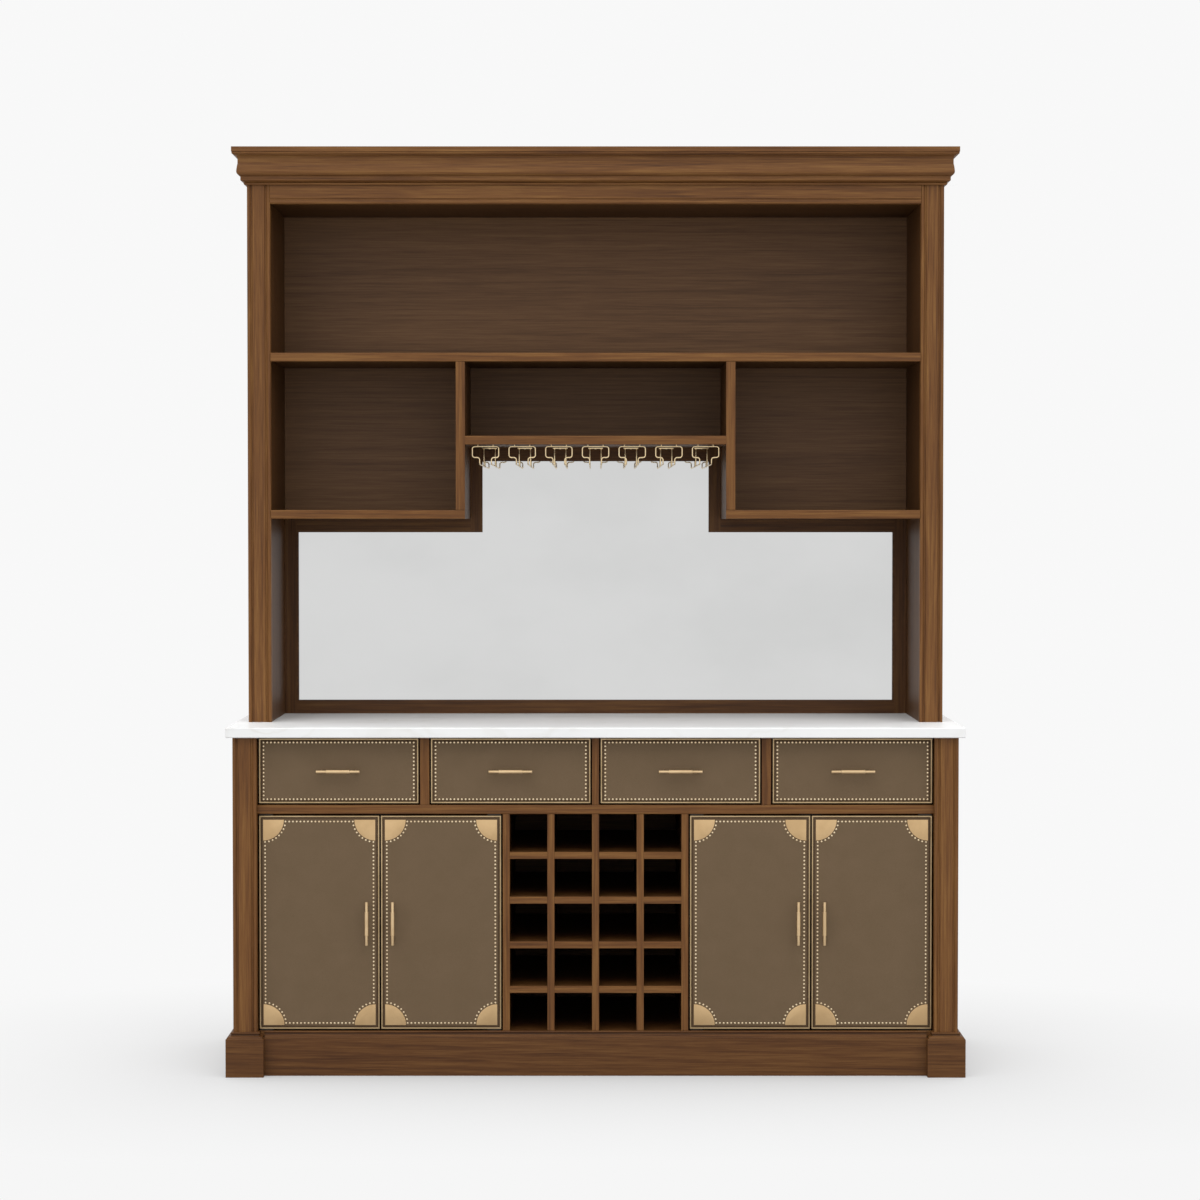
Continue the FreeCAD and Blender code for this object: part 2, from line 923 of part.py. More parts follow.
def mirror():
    """One pane in the shape of a T upside down, held behind the frame."""
    y = hutch_back_y - mirror_thickness
    panes = [
        board(
            -half - mirror_rebate,
            half + mirror_rebate,
            y,
            hutch_back_y,
            foot - mirror_rebate,
            top + mirror_rebate,
        )
        for half, foot, top in mirror_rectangles()
    ]
    return panes[0].fuse(panes[1]).removeSplitter()


def mirror_frame():
    """Eight rebated lengths: around the wide part, up the dividers and under the centre shelf."""
    y = hutch_back_y - frame_thickness
    (wide_x, wide_foot, wide_top), (narrow_x, _, narrow_top) = mirror_rectangles()
    pane = mirror()
    lengths = [
        (-hutch_opening_x, hutch_opening_x, counter_height, wide_foot),
        (-narrow_x, narrow_x, narrow_top, centre_shelf_foot),
    ]
    mirrored_lengths = [
        (wide_x, hutch_opening_x, wide_foot, wide_top),
        (centre_bay_x, hutch_opening_x, wide_top, side_shelf_foot),
        (narrow_x, centre_bay_x, wide_top, centre_shelf_foot),
    ]
    pieces = [board(left, right, y, hutch_back_y, foot, top) for left, right, foot, top in lengths]
    for left, right, foot, top in mirrored_lengths:
        pieces += both_sides(board(left, right, y, hutch_back_y, foot, top))
    return [piece.cut(pane) for piece in pieces]


# Stemware hangers


def bent_wire(points):
    """A wire along straight runs, each corner of its route cut off where the wire is bent."""
    route = [points[0]]
    for before, corner, after in zip(points, points[1:], points[2:]):
        route.append(corner + (before - corner).normalize() * hanger_bend)
        route.append(corner + (after - corner).normalize() * hanger_bend)
    route.append(points[-1])
    along = (points[1] - points[0]).normalize()
    section = closed(ring(points[0], along, hanger_wire_radius, hanger_wire_sides))
    square_corners = 1
    return Part.makePolygon(route).makePipeShell([section], True, False, square_corners)


def hanger_levels():
    """Heights of a hanger's top bar, shoulders and rails."""
    top = centre_shelf_foot - hanger_drop
    shoulder = top - hanger_shoulder_drop
    return top, shoulder, shoulder - hanger_rail_drop


def hanger_wire(x):
    """One bent wire: two rails, joined in front by a neck, shoulders and a top bar."""
    top, shoulder, rail = hanger_levels()
    y = hutch_y + hanger_setback
    rear = hutch_back_y - hanger_rear_gap
    neck = hanger_neck_width / 2
    loop = hanger_loop_width / 2
    half = [
        vector(x + neck, rear, rail),
        vector(x + neck, y, rail),
        vector(x + neck, y, shoulder),
        vector(x + loop, y, shoulder),
        vector(x + loop, y, top),
    ]
    other = [vector(2 * x - point.x, point.y, point.z) for point in reversed(half)]
    return bent_wire(half + other)


def hanger_rear_bracket(x):
    """A plate under the shelf with two legs down to the rails."""
    _, _, rail = hanger_levels()
    y_to = hutch_back_y - hanger_rear_gap
    y_from = y_to - bracket_plate_depth
    leg_y = (y_from + y_to - bracket_leg_width) / 2
    plate_foot = centre_shelf_foot - bracket_plate_thickness
    half_plate = bracket_plate_width / 2
    plate = board(x - half_plate, x + half_plate, y_from, y_to, plate_foot, centre_shelf_foot)
    legs = []
    for side in (-1, 1):
        leg_x = x + (side * hanger_neck_width - bracket_leg_width) / 2
        legs.append(
            board(
                leg_x,
                leg_x + bracket_leg_width,
                leg_y,
                leg_y + bracket_leg_width,
                rail + hanger_wire_radius,
                plate_foot,
            )
        )
    return plate.fuse(legs).removeSplitter()


def hanger_studs(x):
    """Two short studs on the top bar, screwed up into the shelf."""
    top, _, _ = hanger_levels()
    y = hutch_y + hanger_setback
    upward = vector(0, 0, 1)
    studs = []
    for side in (-1, 1):
        stud_x = x + side * stud_spacing / 2
        ends = (vector(stud_x, y, top + hanger_wire_radius), vector(stud_x, y, centre_shelf_foot))
        studs.append(faceted_bar([ring(end, upward, stud_radius, stud_sides) for end in ends]))
    return studs


def stemware_hangers():
    pieces = []
    for number in range(hanger_count):
        x = (number - (hanger_count - 1) / 2) * hanger_pitch
        pieces += [hanger_wire(x), hanger_rear_bracket(x)] + hanger_studs(x)
    return pieces


# The base, from the floor up
save("plinth_boards", plinth_boards())
save("plinth_corner_blocks", both_sides(plinth_corner_block()))
save("base_side_walls", base_side_walls())
base_pilaster = pilaster(opening_x, base_pilaster_width, face_y, plinth_height, counter_foot)
save("base_pilasters", both_sides(base_pilaster))
save("base_bottom", [base_bottom()])
save("base_back", [base_back()])
save("drawer_deck", [drawer_deck()])
save("drawer_dividers", drawer_dividers())
save("base_top", [base_top()])
save("rack_partitions", rack_partitions())
save("rack_uprights", rack_uprights())
save("rack_shelves", rack_shelves())
save("cupboard_shelves", cupboard_shelves())
save("door_pivots", door_pivots())
save("door_catches", door_catches())
save("drawer_runners", drawer_runners())
save("countertop", [countertop()])

# The hutch
save("hutch_side_walls", hutch_side_walls())
hutch_pilaster = pilaster(hutch_opening_x, hutch_pilaster_width, hutch_y, counter_height, roof_foot)
save("hutch_pilasters", both_sides(hutch_pilaster))
save("hutch_frieze", [hutch_frieze()])
save("hutch_top_boards", hutch_top_boards())
save("cornice", cornice())
save("hutch_shelves", hutch_shelves())
save("hutch_dividers", hutch_dividers())
save("hutch_back", [hutch_back()])
save("mirror", [mirror()])
save("mirror_frame", mirror_frame())
save("stemware_hangers", stemware_hangers())

# The doors, numbered from the viewer's left
for number, (door_left, (pivot_x, _)) in enumerate(zip(door_lefts(), pivot_places()), start=1):
    if number % 2 == 1:
        pull_x = door_left + door_width - pull_inset
    else:
        pull_x = door_left + pull_inset
    save(f"door_{number}_panel", door_panel(door_left, pivot_x))
    save(f"door_{number}_trim", door_trim(door_left))
    save(f"door_{number}_pull", [pull(pull_x, (door_foot + door_top) / 2, vector(0, 0, 1))])

# The drawers, numbered from the viewer's left
for number, middle in enumerate(drawer_middles(), start=1):
    left = middle - drawer_width / 2
    right = middle + drawer_width / 2
    save(f"drawer_{number}_front", list(front_panel(left, right, drawer_foot, drawer_top)))
    save(f"drawer_{number}_edging", [edging(left, right, drawer_foot, drawer_top)])
    save(f"drawer_{number}_pull", [pull(middle, (drawer_foot + drawer_top) / 2, vector(1, 0, 0))])
    save(f"drawer_{number}_box", drawer_box(middle))
    save(f"drawer_{number}_slides", drawer_slides(middle))
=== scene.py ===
import json

import bmesh
import bpy
import numpy as np
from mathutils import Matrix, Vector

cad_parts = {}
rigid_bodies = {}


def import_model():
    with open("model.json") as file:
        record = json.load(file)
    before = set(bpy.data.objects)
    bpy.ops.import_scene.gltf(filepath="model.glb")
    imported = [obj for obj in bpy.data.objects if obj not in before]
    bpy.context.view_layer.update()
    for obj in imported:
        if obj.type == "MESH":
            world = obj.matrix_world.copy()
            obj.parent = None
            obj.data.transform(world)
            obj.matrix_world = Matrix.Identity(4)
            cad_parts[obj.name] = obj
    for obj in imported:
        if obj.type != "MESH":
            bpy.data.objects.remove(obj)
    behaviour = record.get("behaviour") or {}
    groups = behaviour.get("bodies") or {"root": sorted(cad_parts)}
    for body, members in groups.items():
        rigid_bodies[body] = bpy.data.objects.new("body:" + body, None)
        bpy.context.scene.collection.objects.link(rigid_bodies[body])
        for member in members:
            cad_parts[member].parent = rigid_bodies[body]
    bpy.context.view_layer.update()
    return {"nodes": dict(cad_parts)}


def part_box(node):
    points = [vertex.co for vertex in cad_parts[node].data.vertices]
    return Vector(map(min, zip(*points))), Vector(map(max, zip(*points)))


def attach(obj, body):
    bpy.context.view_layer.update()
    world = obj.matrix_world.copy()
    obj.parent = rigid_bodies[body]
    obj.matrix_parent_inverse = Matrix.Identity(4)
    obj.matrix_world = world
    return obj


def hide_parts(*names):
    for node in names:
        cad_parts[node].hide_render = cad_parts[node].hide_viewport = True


for leftover in list(bpy.data.objects):
    bpy.data.objects.remove(leftover)
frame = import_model()

# The studio
# A pale floor that runs out to a white room, even light that is strongest above and in front,
# two soft lamps, and a long lens nearly eight metres off that looks slightly down.
lens_length = 86.6
sensor_width = 36.0
lens_shift = 0.0037
camera_place = (0.0, -7.6895, 1.4446)
camera_tilt = np.radians(88.353)
floor_reach = 60.0
footprint_half = (0.93, 0.27, 0.0)
# Distances from the footprint over which the shaded floor gives way to a plain tone, first to
# the eye and then in a gloss
shadow_reach = 1.0
shadow_kept_share = 0.2
gloss_reach = (1.0, 4.0)
# Where that tone turns to the room's white: behind the cabinet, and far off all round
backdrop_start = (0.2, 1.4)
far_reach = (4.0, 12.0)
# In a gloss the room is darker behind the cabinet than in front of it
gloss_turn = (-0.2, 0.9)
gloss_rear_share = 0.66
room_white = (0.94, 0.94, 0.94, 1.0)
floor_white = (0.52, 0.52, 0.52, 1.0)
floor_seen = (0.9216, 0.9216, 0.9216, 1.0)
floor_dim = (0.40, 0.40, 0.40, 1.0)
room_light = (0.995, 1.0, 1.005, 1.0)
even_light = 1.08
front_light = 0.1
upper_light = 0.95
upper_start = 0.3
# Each lamp's name, place, size, power and colour
lamps = (
    ("key_lamp", (-2.4, -5.8, 8.6), 4.5, 60.0, (1.0, 0.99, 0.975)),
    ("fill_lamp", (3.0, -5.6, 8.0), 4.5, 35.0, (0.985, 0.99, 1.0)),
)
lamp_target = (0.0, 0.0, 1.0)


def node(tree, kind, inputs=(), **settings):
    """A new node; each input is a value to set on its socket or an output to join to it."""
    made = tree.nodes.new(kind)
    for name, value in settings.items():
        setattr(made, name, value)
    for name, value in dict(inputs).items():
        if isinstance(value, bpy.types.NodeSocket):
            tree.links.new(value, made.inputs[name])
        else:
            made.inputs[name].default_value = value
    return made


def math(tree, operation, first, second=0.0):
    """The output of one Math node."""
    return node(tree, "ShaderNodeMath", {0: first, 1: second}, operation=operation).outputs[0]


def weighted_sum(tree, start, *parts):
    """A start value plus the value times the weight of each (value, weight)."""
    total = start
    for value, weight in parts:
        total = math(tree, "ADD", total, math(tree, "MULTIPLY", value, weight))
    return total


def between(tree, value, low, high, to_low=0.0, to_high=1.0):
    """A value eased from one range to another."""
    made = node(
        tree,
        "ShaderNodeMapRange",
        {"Value": value, "From Min": low, "From Max": high, "To Min": to_low, "To Max": to_high},
        interpolation_type="SMOOTHSTEP",
    )
    return made.outputs["Result"]


def blend(tree, factor, first, second, kind="MIX"):
    """Two colours mixed by a factor."""
    made = node(
        tree,
        "ShaderNodeMix",
        {"Factor": factor, "A": first, "B": second},
        data_type="RGBA",
        blend_type=kind,
    )
    return made.outputs["Result"]


def vector_math(tree, operation, *given):
    """The vector that one Vector Math node makes."""
    made = node(tree, "ShaderNodeVectorMath", dict(enumerate(given)), operation=operation)
    return made.outputs["Vector"]


def own_place(tree):
    """The piece's own coordinates, in metres."""
    return node(tree, "ShaderNodeTexCoord").outputs["Object"]


def seen_by_eye(tree):
    """One for the rays that show the room itself: straight ones and see-through ones."""
    path = node(tree, "ShaderNodeLightPath").outputs
    return math(tree, "MAXIMUM", path["Is Camera Ray"], path["Is Transmission Ray"])


def seen_in_gloss(tree):
    """One for the rays that show the room in a mirror, in metal or in polish."""
    path = node(tree, "ShaderNodeLightPath").outputs
    straight = math(tree, "LESS_THAN", path["Diffuse Depth"], 0.5)
    return math(tree, "MULTIPLY", path["Is Glossy Ray"], straight)


def empty_material(name):
    """A material with nothing but its output node."""
    material = bpy.data.materials.new(name)
    material.use_nodes = True
    tree = material.node_tree
    tree.nodes.clear()
    return material, tree, node(tree, "ShaderNodeOutputMaterial")


camera_data = bpy.data.cameras.new("camera")
camera_data.lens = lens_length
camera_data.sensor_width = sensor_width
camera_data.shift_x = lens_shift
camera = bpy.data.objects.new("camera", camera_data)
camera.location = camera_place
camera.rotation_euler = (camera_tilt, 0.0, 0.0)
bpy.context.scene.collection.objects.link(camera)
bpy.context.scene.camera = camera
bpy.context.scene.view_settings.view_transform = "Standard"

for name, place, size, power, colour in lamps:
    lamp_data = bpy.data.lights.new(name, "AREA")
    lamp_data.size = size
    lamp_data.energy = power
    lamp_data.color = colour
    lamp = bpy.data.objects.new(name, lamp_data)
    lamp.location = place
    towards = np.subtract(lamp_target, place)
    lamp.rotation_euler = (
        np.arctan2(np.hypot(towards[0], towards[1]), -towards[2]),
        0.0,
        np.arctan2(-towards[0], towards[1]),
    )
    bpy.context.scene.collection.objects.link(lamp)

# The eye and a gloss see the plain white room, and everything else is lit by the room's glow
world = bpy.data.worlds.new("studio")
bpy.context.scene.world = world
world.use_nodes = True
room = world.node_tree
room.nodes.clear()
direction = node(room, "ShaderNodeTexCoord").outputs["Generated"]
facing = node(room, "ShaderNodeSeparateXYZ", {0: direction}).outputs
forward = math(room, "MULTIPLY", facing["Y"], -1.0)
gloss_path = node(room, "ShaderNodeLightPath").outputs["Is Glossy Ray"]
rear_level = between(room, forward, *gloss_turn, gloss_rear_share, 1.0)
gloss_level = node(room, "ShaderNodeMix", {"Factor": gloss_path, "A": 1.0, "B": rear_level})
plain_room = node(
    room,
    "ShaderNodeBackground",
    {"Color": room_white, "Strength": gloss_level.outputs[0]},
)
from_front = between(room, forward, 0.0, 1.0, 0.0, front_light)
from_above = between(room, facing["Z"], upper_start, 1.0, 0.0, upper_light)
light_level = math(room, "ADD", math(room, "ADD", even_light, from_front), from_above)
light_level = math(room, "MULTIPLY", light_level, math(room, "SUBTRACT", 1.0, gloss_path))
room_glow = node(room, "ShaderNodeBackground", {"Color": room_light, "Strength": light_level})
shown = node(
    room,
    "ShaderNodeMixShader",
    {
        0: math(room, "MAXIMUM", seen_by_eye(room), seen_in_gloss(room)),
        1: room_glow.outputs[0],
        2: plain_room.outputs[0],
    },
)
node(room, "ShaderNodeOutputWorld", {"Surface": shown.outputs[0]})

floor_mesh = bpy.data.meshes.new("floor")
corner_signs = np.array([(-1, -1, 0), (1, -1, 0), (1, 1, 0), (-1, 1, 0)], float)
floor_mesh.from_pydata((corner_signs * floor_reach).tolist(), [], [(0, 1, 2, 3)])
floor = bpy.data.objects.new("floor", floor_mesh)
bpy.context.scene.collection.objects.link(floor)
floor_material, tree, output = empty_material("floor")
place = own_place(tree)
beyond = vector_math(tree, "SUBTRACT", vector_math(tree, "ABSOLUTE", place), footprint_half)
beyond = vector_math(tree, "MAXIMUM", beyond, (0.0, 0.0, 0.0))
distance = node(tree, "ShaderNodeVectorMath", {0: beyond}, operation="LENGTH").outputs["Value"]
by_eye = seen_by_eye(tree)
rise = math(tree, "SQRT", math(tree, "DIVIDE", distance, shadow_reach))
rise = weighted_sum(tree, shadow_kept_share, (rise, 1.0 - shadow_kept_share))
rise = math(tree, "MINIMUM", rise, 1.0)
fade = math(
    tree,
    "MAXIMUM",
    math(tree, "MULTIPLY", rise, by_eye),
    math(tree, "MULTIPLY", between(tree, distance, *gloss_reach), seen_in_gloss(tree)),
)
lit_colour = blend(tree, by_eye, floor_dim, floor_white)
lit = node(tree, "ShaderNodeBsdfDiffuse", {"Color": lit_colour})
depth = node(tree, "ShaderNodeSeparateXYZ", {0: place}).outputs["Y"]
behind = between(tree, depth, *backdrop_start)
far = between(tree, distance, *far_reach)
plain_colour = blend(tree, math(tree, "MAXIMUM", behind, far), floor_seen, room_white)
plain = node(tree, "ShaderNodeEmission", {"Color": plain_colour})
mixed = node(tree, "ShaderNodeMixShader", {0: fade, 1: lit.outputs[0], 2: plain.outputs[0]})
tree.links.new(mixed.outputs[0], output.inputs["Surface"])
floor_mesh.materials.append(floor_material)

# The plinth
# Walnut boards and corner blocks with a moulded top edge, under a clear satin lacquer. The
# front and side boards are mitred into the blocks that carry the pilasters.
walnut_shades = ((0.072, 0.026, 0.007), (0.150, 0.060, 0.015), (0.236, 0.111, 0.030))
# The plinth's walnut is darker than the rest: painted shade for the dimmer light near the floor
plinth_shade_darkened_walnut = ((0.051, 0.0175, 0.0045), (0.106, 0.041, 0.0105), (0.167, 0.075, 0.0210))
# A band of painted shade in the hollow under the plinth's lip
plinth_hollow_height = 0.1085
plinth_hollow_half_width = 0.0016
plinth_hollow_fade = 0.0014
# Colour that darkens the walnut where shade is painted in
painted_shade_tint = (0.55, 0.53, 0.51, 1.0)
# Waves of each noise per metre: along the grain first, then across it
ring_fineness = (0.09, 4.5, 4.5)
ripple_fineness = (1.2, 40.0, 40.0)
streak_fineness = (1.3, 62.0, 62.0)
fibre_fineness = (7.0, 240.0, 240.0)
pore_fineness = (45.0, 1250.0, 1250.0)
patch_fineness = (0.8, 8.0, 8.0)
ripple_share = 0.025
ring_rise = (0.35, 0.90)
ring_fall = (0.92, 1.0)
pore_range = (0.60, 0.72)
tone_shares = (("Streaks", 1.0), ("Fibres", 1.2), ("Patches", 0.35), ("Rings", -0.14))
tone_range = (0.82, 1.64)
pore_share = 0.35
pore_depth = 0.0002
pore_strength = 0.30
pore_roughness = 0.12
fibre_roughness = 0.10
wood_gloss = 0.22
wood_coat_roughness = 0.25
grain_along_width = (0.0, 0.0, 0.0)
grain_along_height = (0.0, np.pi / 2, 0.0)
grain_along_depth = (0.0, 0.0, np.pi / 2)


def stretched_noise(tree, vector, fineness, detail=3.0, roughness=0.55):
    """Soft noise with its own fineness per metre in each direction, so it can follow the grain."""
    scaled = vector_math(tree, "MULTIPLY", vector, fineness)
    noise = node(
        tree,
        "ShaderNodeTexNoise",
        {"Vector": scaled, "Scale": 1.0, "Detail": detail, "Roughness": roughness},
    )
    return noise.outputs["Fac"]


def wood_figure():
    """Growth rings as level lines of a noise field drawn out along the grain, streaks and pores."""
    group = bpy.data.node_groups.new("wood_figure", "ShaderNodeTree")
    group.interface.new_socket("Vector", in_out="INPUT", socket_type="NodeSocketVector")
    group.interface.new_socket("Rings", in_out="INPUT", socket_type="NodeSocketFloat")
    for part in ("Rings", "Streaks", "Fibres", "Pores", "Patches"):
        group.interface.new_socket(part, in_out="OUTPUT", socket_type="NodeSocketFloat")
    given = node(group, "NodeGroupInput").outputs
    vector = given["Vector"]
    field = stretched_noise(group, vector, ring_fineness, detail=1.0)
    ripple = stretched_noise(group, vector, ripple_fineness, detail=2.0)
    field = weighted_sum(group, field, (ripple, ripple_share))
    turn = math(group, "FRACT", math(group, "MULTIPLY", field, given["Rings"]))
    slow_rise = between(group, turn, *ring_rise)
    quick_fall = between(group, turn, *ring_fall, 1.0, 0.0)
    pores = stretched_noise(group, vector, pore_fineness)
    parts = {
        "Rings": math(group, "MINIMUM", slow_rise, quick_fall),
        "Streaks": stretched_noise(group, vector, streak_fineness, detail=5.0, roughness=0.7),
        "Fibres": stretched_noise(group, vector, fibre_fineness, detail=4.0, roughness=0.65),
        "Pores": between(group, pores, *pore_range),
        "Patches": stretched_noise(group, vector, patch_fineness, detail=2.0),
    }
    node(group, "NodeGroupOutput", parts)
    return group


wood_figure_group = wood_figure()


def turned_grain(tree, turn):
    """The piece's own coordinates, turned so that the grain runs along the first of them."""
    turned = node(tree, "ShaderNodeMapping", {"Vector": own_place(tree), "Rotation": turn})
    return turned.outputs["Vector"]


def either_grain(tree, mask, first_turn, second_turn):
    """The first way of the grain where the mask is zero, and the second where it is one."""
    made = node(
        tree,
        "ShaderNodeMix",
        {
            "Factor": mask,
            "A": turned_grain(tree, first_turn),
            "B": turned_grain(tree, second_turn),
        },
        data_type="VECTOR",
    )
    return made.outputs["Result"]


def own_places(tree):
    """Distance from the middle to either side, depth and height of a point."""
    parts = node(tree, "ShaderNodeSeparateXYZ", {0: own_place(tree)}).outputs
    return math(tree, "ABSOLUTE", parts["X"]), parts["Y"], parts["Z"]


def grain_round_mitre(tree, corner_x, corner_y):
    """Grain along the width in front, and along the depth past the mitre from an outer corner."""
    aside, depth, _ = own_places(tree)
    past = math(tree, "GREATER_THAN", math(tree, "ADD", aside, depth), corner_x + corner_y)
    return either_grain(tree, past, grain_along_width, grain_along_depth)


def shaded(tree, output, inputs):
    """Give a material's output a Principled shader with these inputs."""
    shader = node(tree, "ShaderNodeBsdfPrincipled", inputs)
    tree.links.new(shader.outputs[0], output.inputs["Surface"])


def wood(name, grain, shades, rings=40.0, roughness=0.46, coat=0.04, darker=None):
    """Lacquered wood: streaks and fine fibres between three shades, dark rings and dented pores.

    grain gives the coordinates along the grain, and darker the mask of where shade is painted into
    the colour.
    """
    material, tree, output = empty_material(name)
    inputs = {"Vector": grain(tree), "Rings": rings}
    figure = node(tree, "ShaderNodeGroup", inputs, node_tree=wood_figure_group).outputs
    tone = weighted_sum(tree, 0.0, *((figure[part], share) for part, share in tone_shares))
    low, high = tone_range
    tone = node(tree, "ShaderNodeMapRange", {"Value": tone, "From Min": low, "From Max": high})
    ramp = node(tree, "ShaderNodeValToRGB", {"Fac": tone.outputs["Result"]})
    dark, middle, light = shades
    ramp.color_ramp.elements[0].color = (*dark, 1.0)
    ramp.color_ramp.elements[1].color = (*light, 1.0)
    ramp.color_ramp.elements.new(0.5).color = (*middle, 1.0)
    pores = math(tree, "MULTIPLY", figure["Pores"], pore_share)
    colour = blend(tree, pores, ramp.outputs["Color"], (*dark, 1.0))
    # Painted shade: the colour is darkened where the darker mask is one
    colour = blend(tree, darker(tree) if darker else 0.0, colour, painted_shade_tint, "MULTIPLY")
    rough = weighted_sum(
        tree, roughness, (figure["Fibres"], fibre_roughness), (figure["Pores"], pore_roughness)
    )
    height = math(tree, "SUBTRACT", figure["Fibres"], figure["Pores"])
    dents = {"Height": height, "Strength": pore_strength, "Distance": pore_depth}
    shaded(
        tree,
        output,
        {
            "Base Color": colour,
            "Roughness": rough,
            "Normal": node(tree, "ShaderNodeBump", dents).outputs["Normal"],
            "Specular IOR Level": wood_gloss,
            "Coat Weight": coat,
            "Coat Roughness": wood_coat_roughness,
        },
    )
    return material


def mitred_walnut(name, node_name, shades, darker=None):
    """Walnut whose grain turns with the mitre at a node's outer front corner."""
    low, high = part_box(node_name)
    return wood(name, lambda tree: grain_round_mitre(tree, high[0], low[1]), shades, darker=darker)


def plinth_hollow_shade(tree):
    """Mask of the hollow under the plinth's lip, where shade is painted into the colour."""
    _, _, height = own_places(tree)
    distance = math(tree, "ABSOLUTE", math(tree, "SUBTRACT", height, plinth_hollow_height))
    end = plinth_hollow_half_width + plinth_hollow_fade
    return between(tree, distance, plinth_hollow_half_width, end, 1.0, 0.0)


def finish_node(name, material):
    """Give a CAD node its visible finish."""
    piece = frame["nodes"][name]
    for slot in piece.material_slots:
        slot.material = material
    return piece


for name, material_name in (
    ("plinth_boards", "walnut_plinth_painted_shade"),
    ("plinth_corner_blocks", "walnut_corner_blocks_painted_shade"),
):
    finish_node(name, mitred_walnut(material_name, name, plinth_shade_darkened_walnut, plinth_hollow_shade))

# The carcass of the base
# Flat walnut boards, glued and dowelled: end panels with linings, bottom, back, deck, dividers
# and top. Their arrises are broken with a plane, so that they catch a thin line of light.
arris = 0.0007
arris_steps = 2
same_corner = 0.00002
sharp_angle = np.radians(40)
forward_limit = -0.5


def grain_across(tree):
    """Grain along the width."""
    return turned_grain(tree, grain_along_width)


def grain_upright(tree):
    """Grain along the height."""
    return turned_grain(tree, grain_along_height)


def shade_unless_forward(tree):
    """One on every face of a board but the one that looks forward: where shade is painted in."""
    normal = node(tree, "ShaderNodeTexCoord").outputs["Normal"]
    depth = node(tree, "ShaderNodeSeparateXYZ", {0: normal}).outputs["Y"]
    return math(tree, "GREATER_THAN", depth, forward_limit)


walnut_across = wood("walnut_across", grain_across, walnut_shades)
walnut_upright = wood("walnut_upright", grain_upright, walnut_shades)
# Inner boards with shade painted into every face but the forward one
shaded_inner_across = wood("walnut_inner_across", grain_across, walnut_shades, darker=shade_unless_forward)
shaded_inner_upright = wood("walnut_inner_upright", grain_upright, walnut_shades, darker=shade_unless_forward)


def break_arrises(piece, width=arris):
    """Round a board's sharp edges over by a given width."""
    weld = piece.modifiers.new("joined", "WELD")
    weld.merge_threshold = same_corner
    bevel = piece.modifiers.new("broken_arris", "BEVEL")
    bevel.width = width
    bevel.segments = arris_steps
    bevel.limit_method = "ANGLE"
    bevel.angle_limit = sharp_angle
    return piece


break_arrises(finish_node("base_side_walls", walnut_upright))
break_arrises(finish_node("base_back", walnut_across))
for name in ("drawer_dividers", "rack_partitions", "rack_uprights"):
    break_arrises(finish_node(name, shaded_inner_upright))
for name in ("base_bottom", "drawer_deck", "base_top", "rack_shelves", "cupboard_shelves"):
    break_arrises(finish_node(name, shaded_inner_across))
finish_node("base_pilasters", walnut_upright)

# The hutch
# An open case of the same walnut that stands on the counter: end panels with linings, shelves
# and dividers, a frieze, and a crown moulding mitred round its front corners.
# The back board's walnut is paler and greyer than the rest: a painted sheen of reflected light
back_sheen_shades = ((0.098, 0.046, 0.020), (0.152, 0.075, 0.032), (0.206, 0.106, 0.046))
_, opening_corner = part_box("mirror_frame")
lining_skin = 0.001


def shade_within_opening(tree):
    """One on the faces of the linings that look into the bays, where shade is painted in."""
    aside, _, _ = own_places(tree)
    return math(tree, "LESS_THAN", aside, opening_corner[0] + lining_skin)


# The linings' faces within the bays have shade painted into their colour
shaded_wall_walnut = wood("walnut_hutch_walls_painted_shade", grain_upright, walnut_shades, darker=shade_within_opening)
back_walnut_with_sheen = wood("walnut_hutch_back_painted_sheen", grain_across, back_sheen_shades)
break_arrises(finish_node("hutch_side_walls", shaded_wall_walnut))
break_arrises(finish_node("hutch_back", back_walnut_with_sheen))
break_arrises(finish_node("hutch_dividers", shaded_inner_upright))
for name in ("hutch_top_boards", "hutch_shelves"):
    break_arrises(finish_node(name, shaded_inner_across))
finish_node("hutch_pilasters", walnut_upright)
finish_node("hutch_frieze", walnut_across)
finish_node("cornice", mitred_walnut("walnut_cornice", "cornice", walnut_shades))

# The doors and drawer fronts
# A wooden core under taupe leather, framed by a brass edging. Brass quarter discs cover the
# doors' corners, and round brass nails run beside the edging and round the discs.
leather_shades = ((0.144, 0.094, 0.049), (0.158, 0.103, 0.056))
leather_gloss = 0.25
brass_shades = ((0.64, 0.43, 0.22), (0.74, 0.51, 0.27))
brass_roughness = 0.36
edging_shades = ((0.47, 0.34, 0.185), (0.58, 0.425, 0.245))
edging_roughness = 0.40
edging_width = 0.0042
edging_depth = 0.0040
edging_round = 0.0009
edging_bevel = 0.0012
leather_recess = 0.0005
leather_roll = 0.0022
leather_thickness = 0.0012
# The leather's darker rim beside the edging: partly wear, partly painted shade where the edging
# shades it
rim_start = 0.0060
rim_end = 0.0130
rim_wear_and_shade = (0.50, 0.42, 0.34, 1.0)
core_round = 0.0008
plate_inset = 0.0103
plate_radius = 0.0540
plate_thickness = 0.0012
plate_round = 0.0004
plate_steps = 24
nail_shades = ((0.93, 0.73, 0.47), (0.99, 0.82, 0.56))
nail_roughness = 0.30
nail_radius = 0.0026
nail_height = 0.0012
nail_sides = 12
nail_rings = 3
nail_smooth_limit = 60.0
nail_pitch = 0.0097
door_nail_inset = 0.0152
drawer_nail_inset = (0.0119, 0.0103)
nail_arc_radius = 0.0582
quarter_turn = np.pi / 2
scratch_fineness = (900.0, 90.0, 900.0)
scratch_depth = 0.00005
scratch_strength = 0.12
scratch_roughness = 0.10
tarnish_fineness = (14.0, 14.0, 14.0)
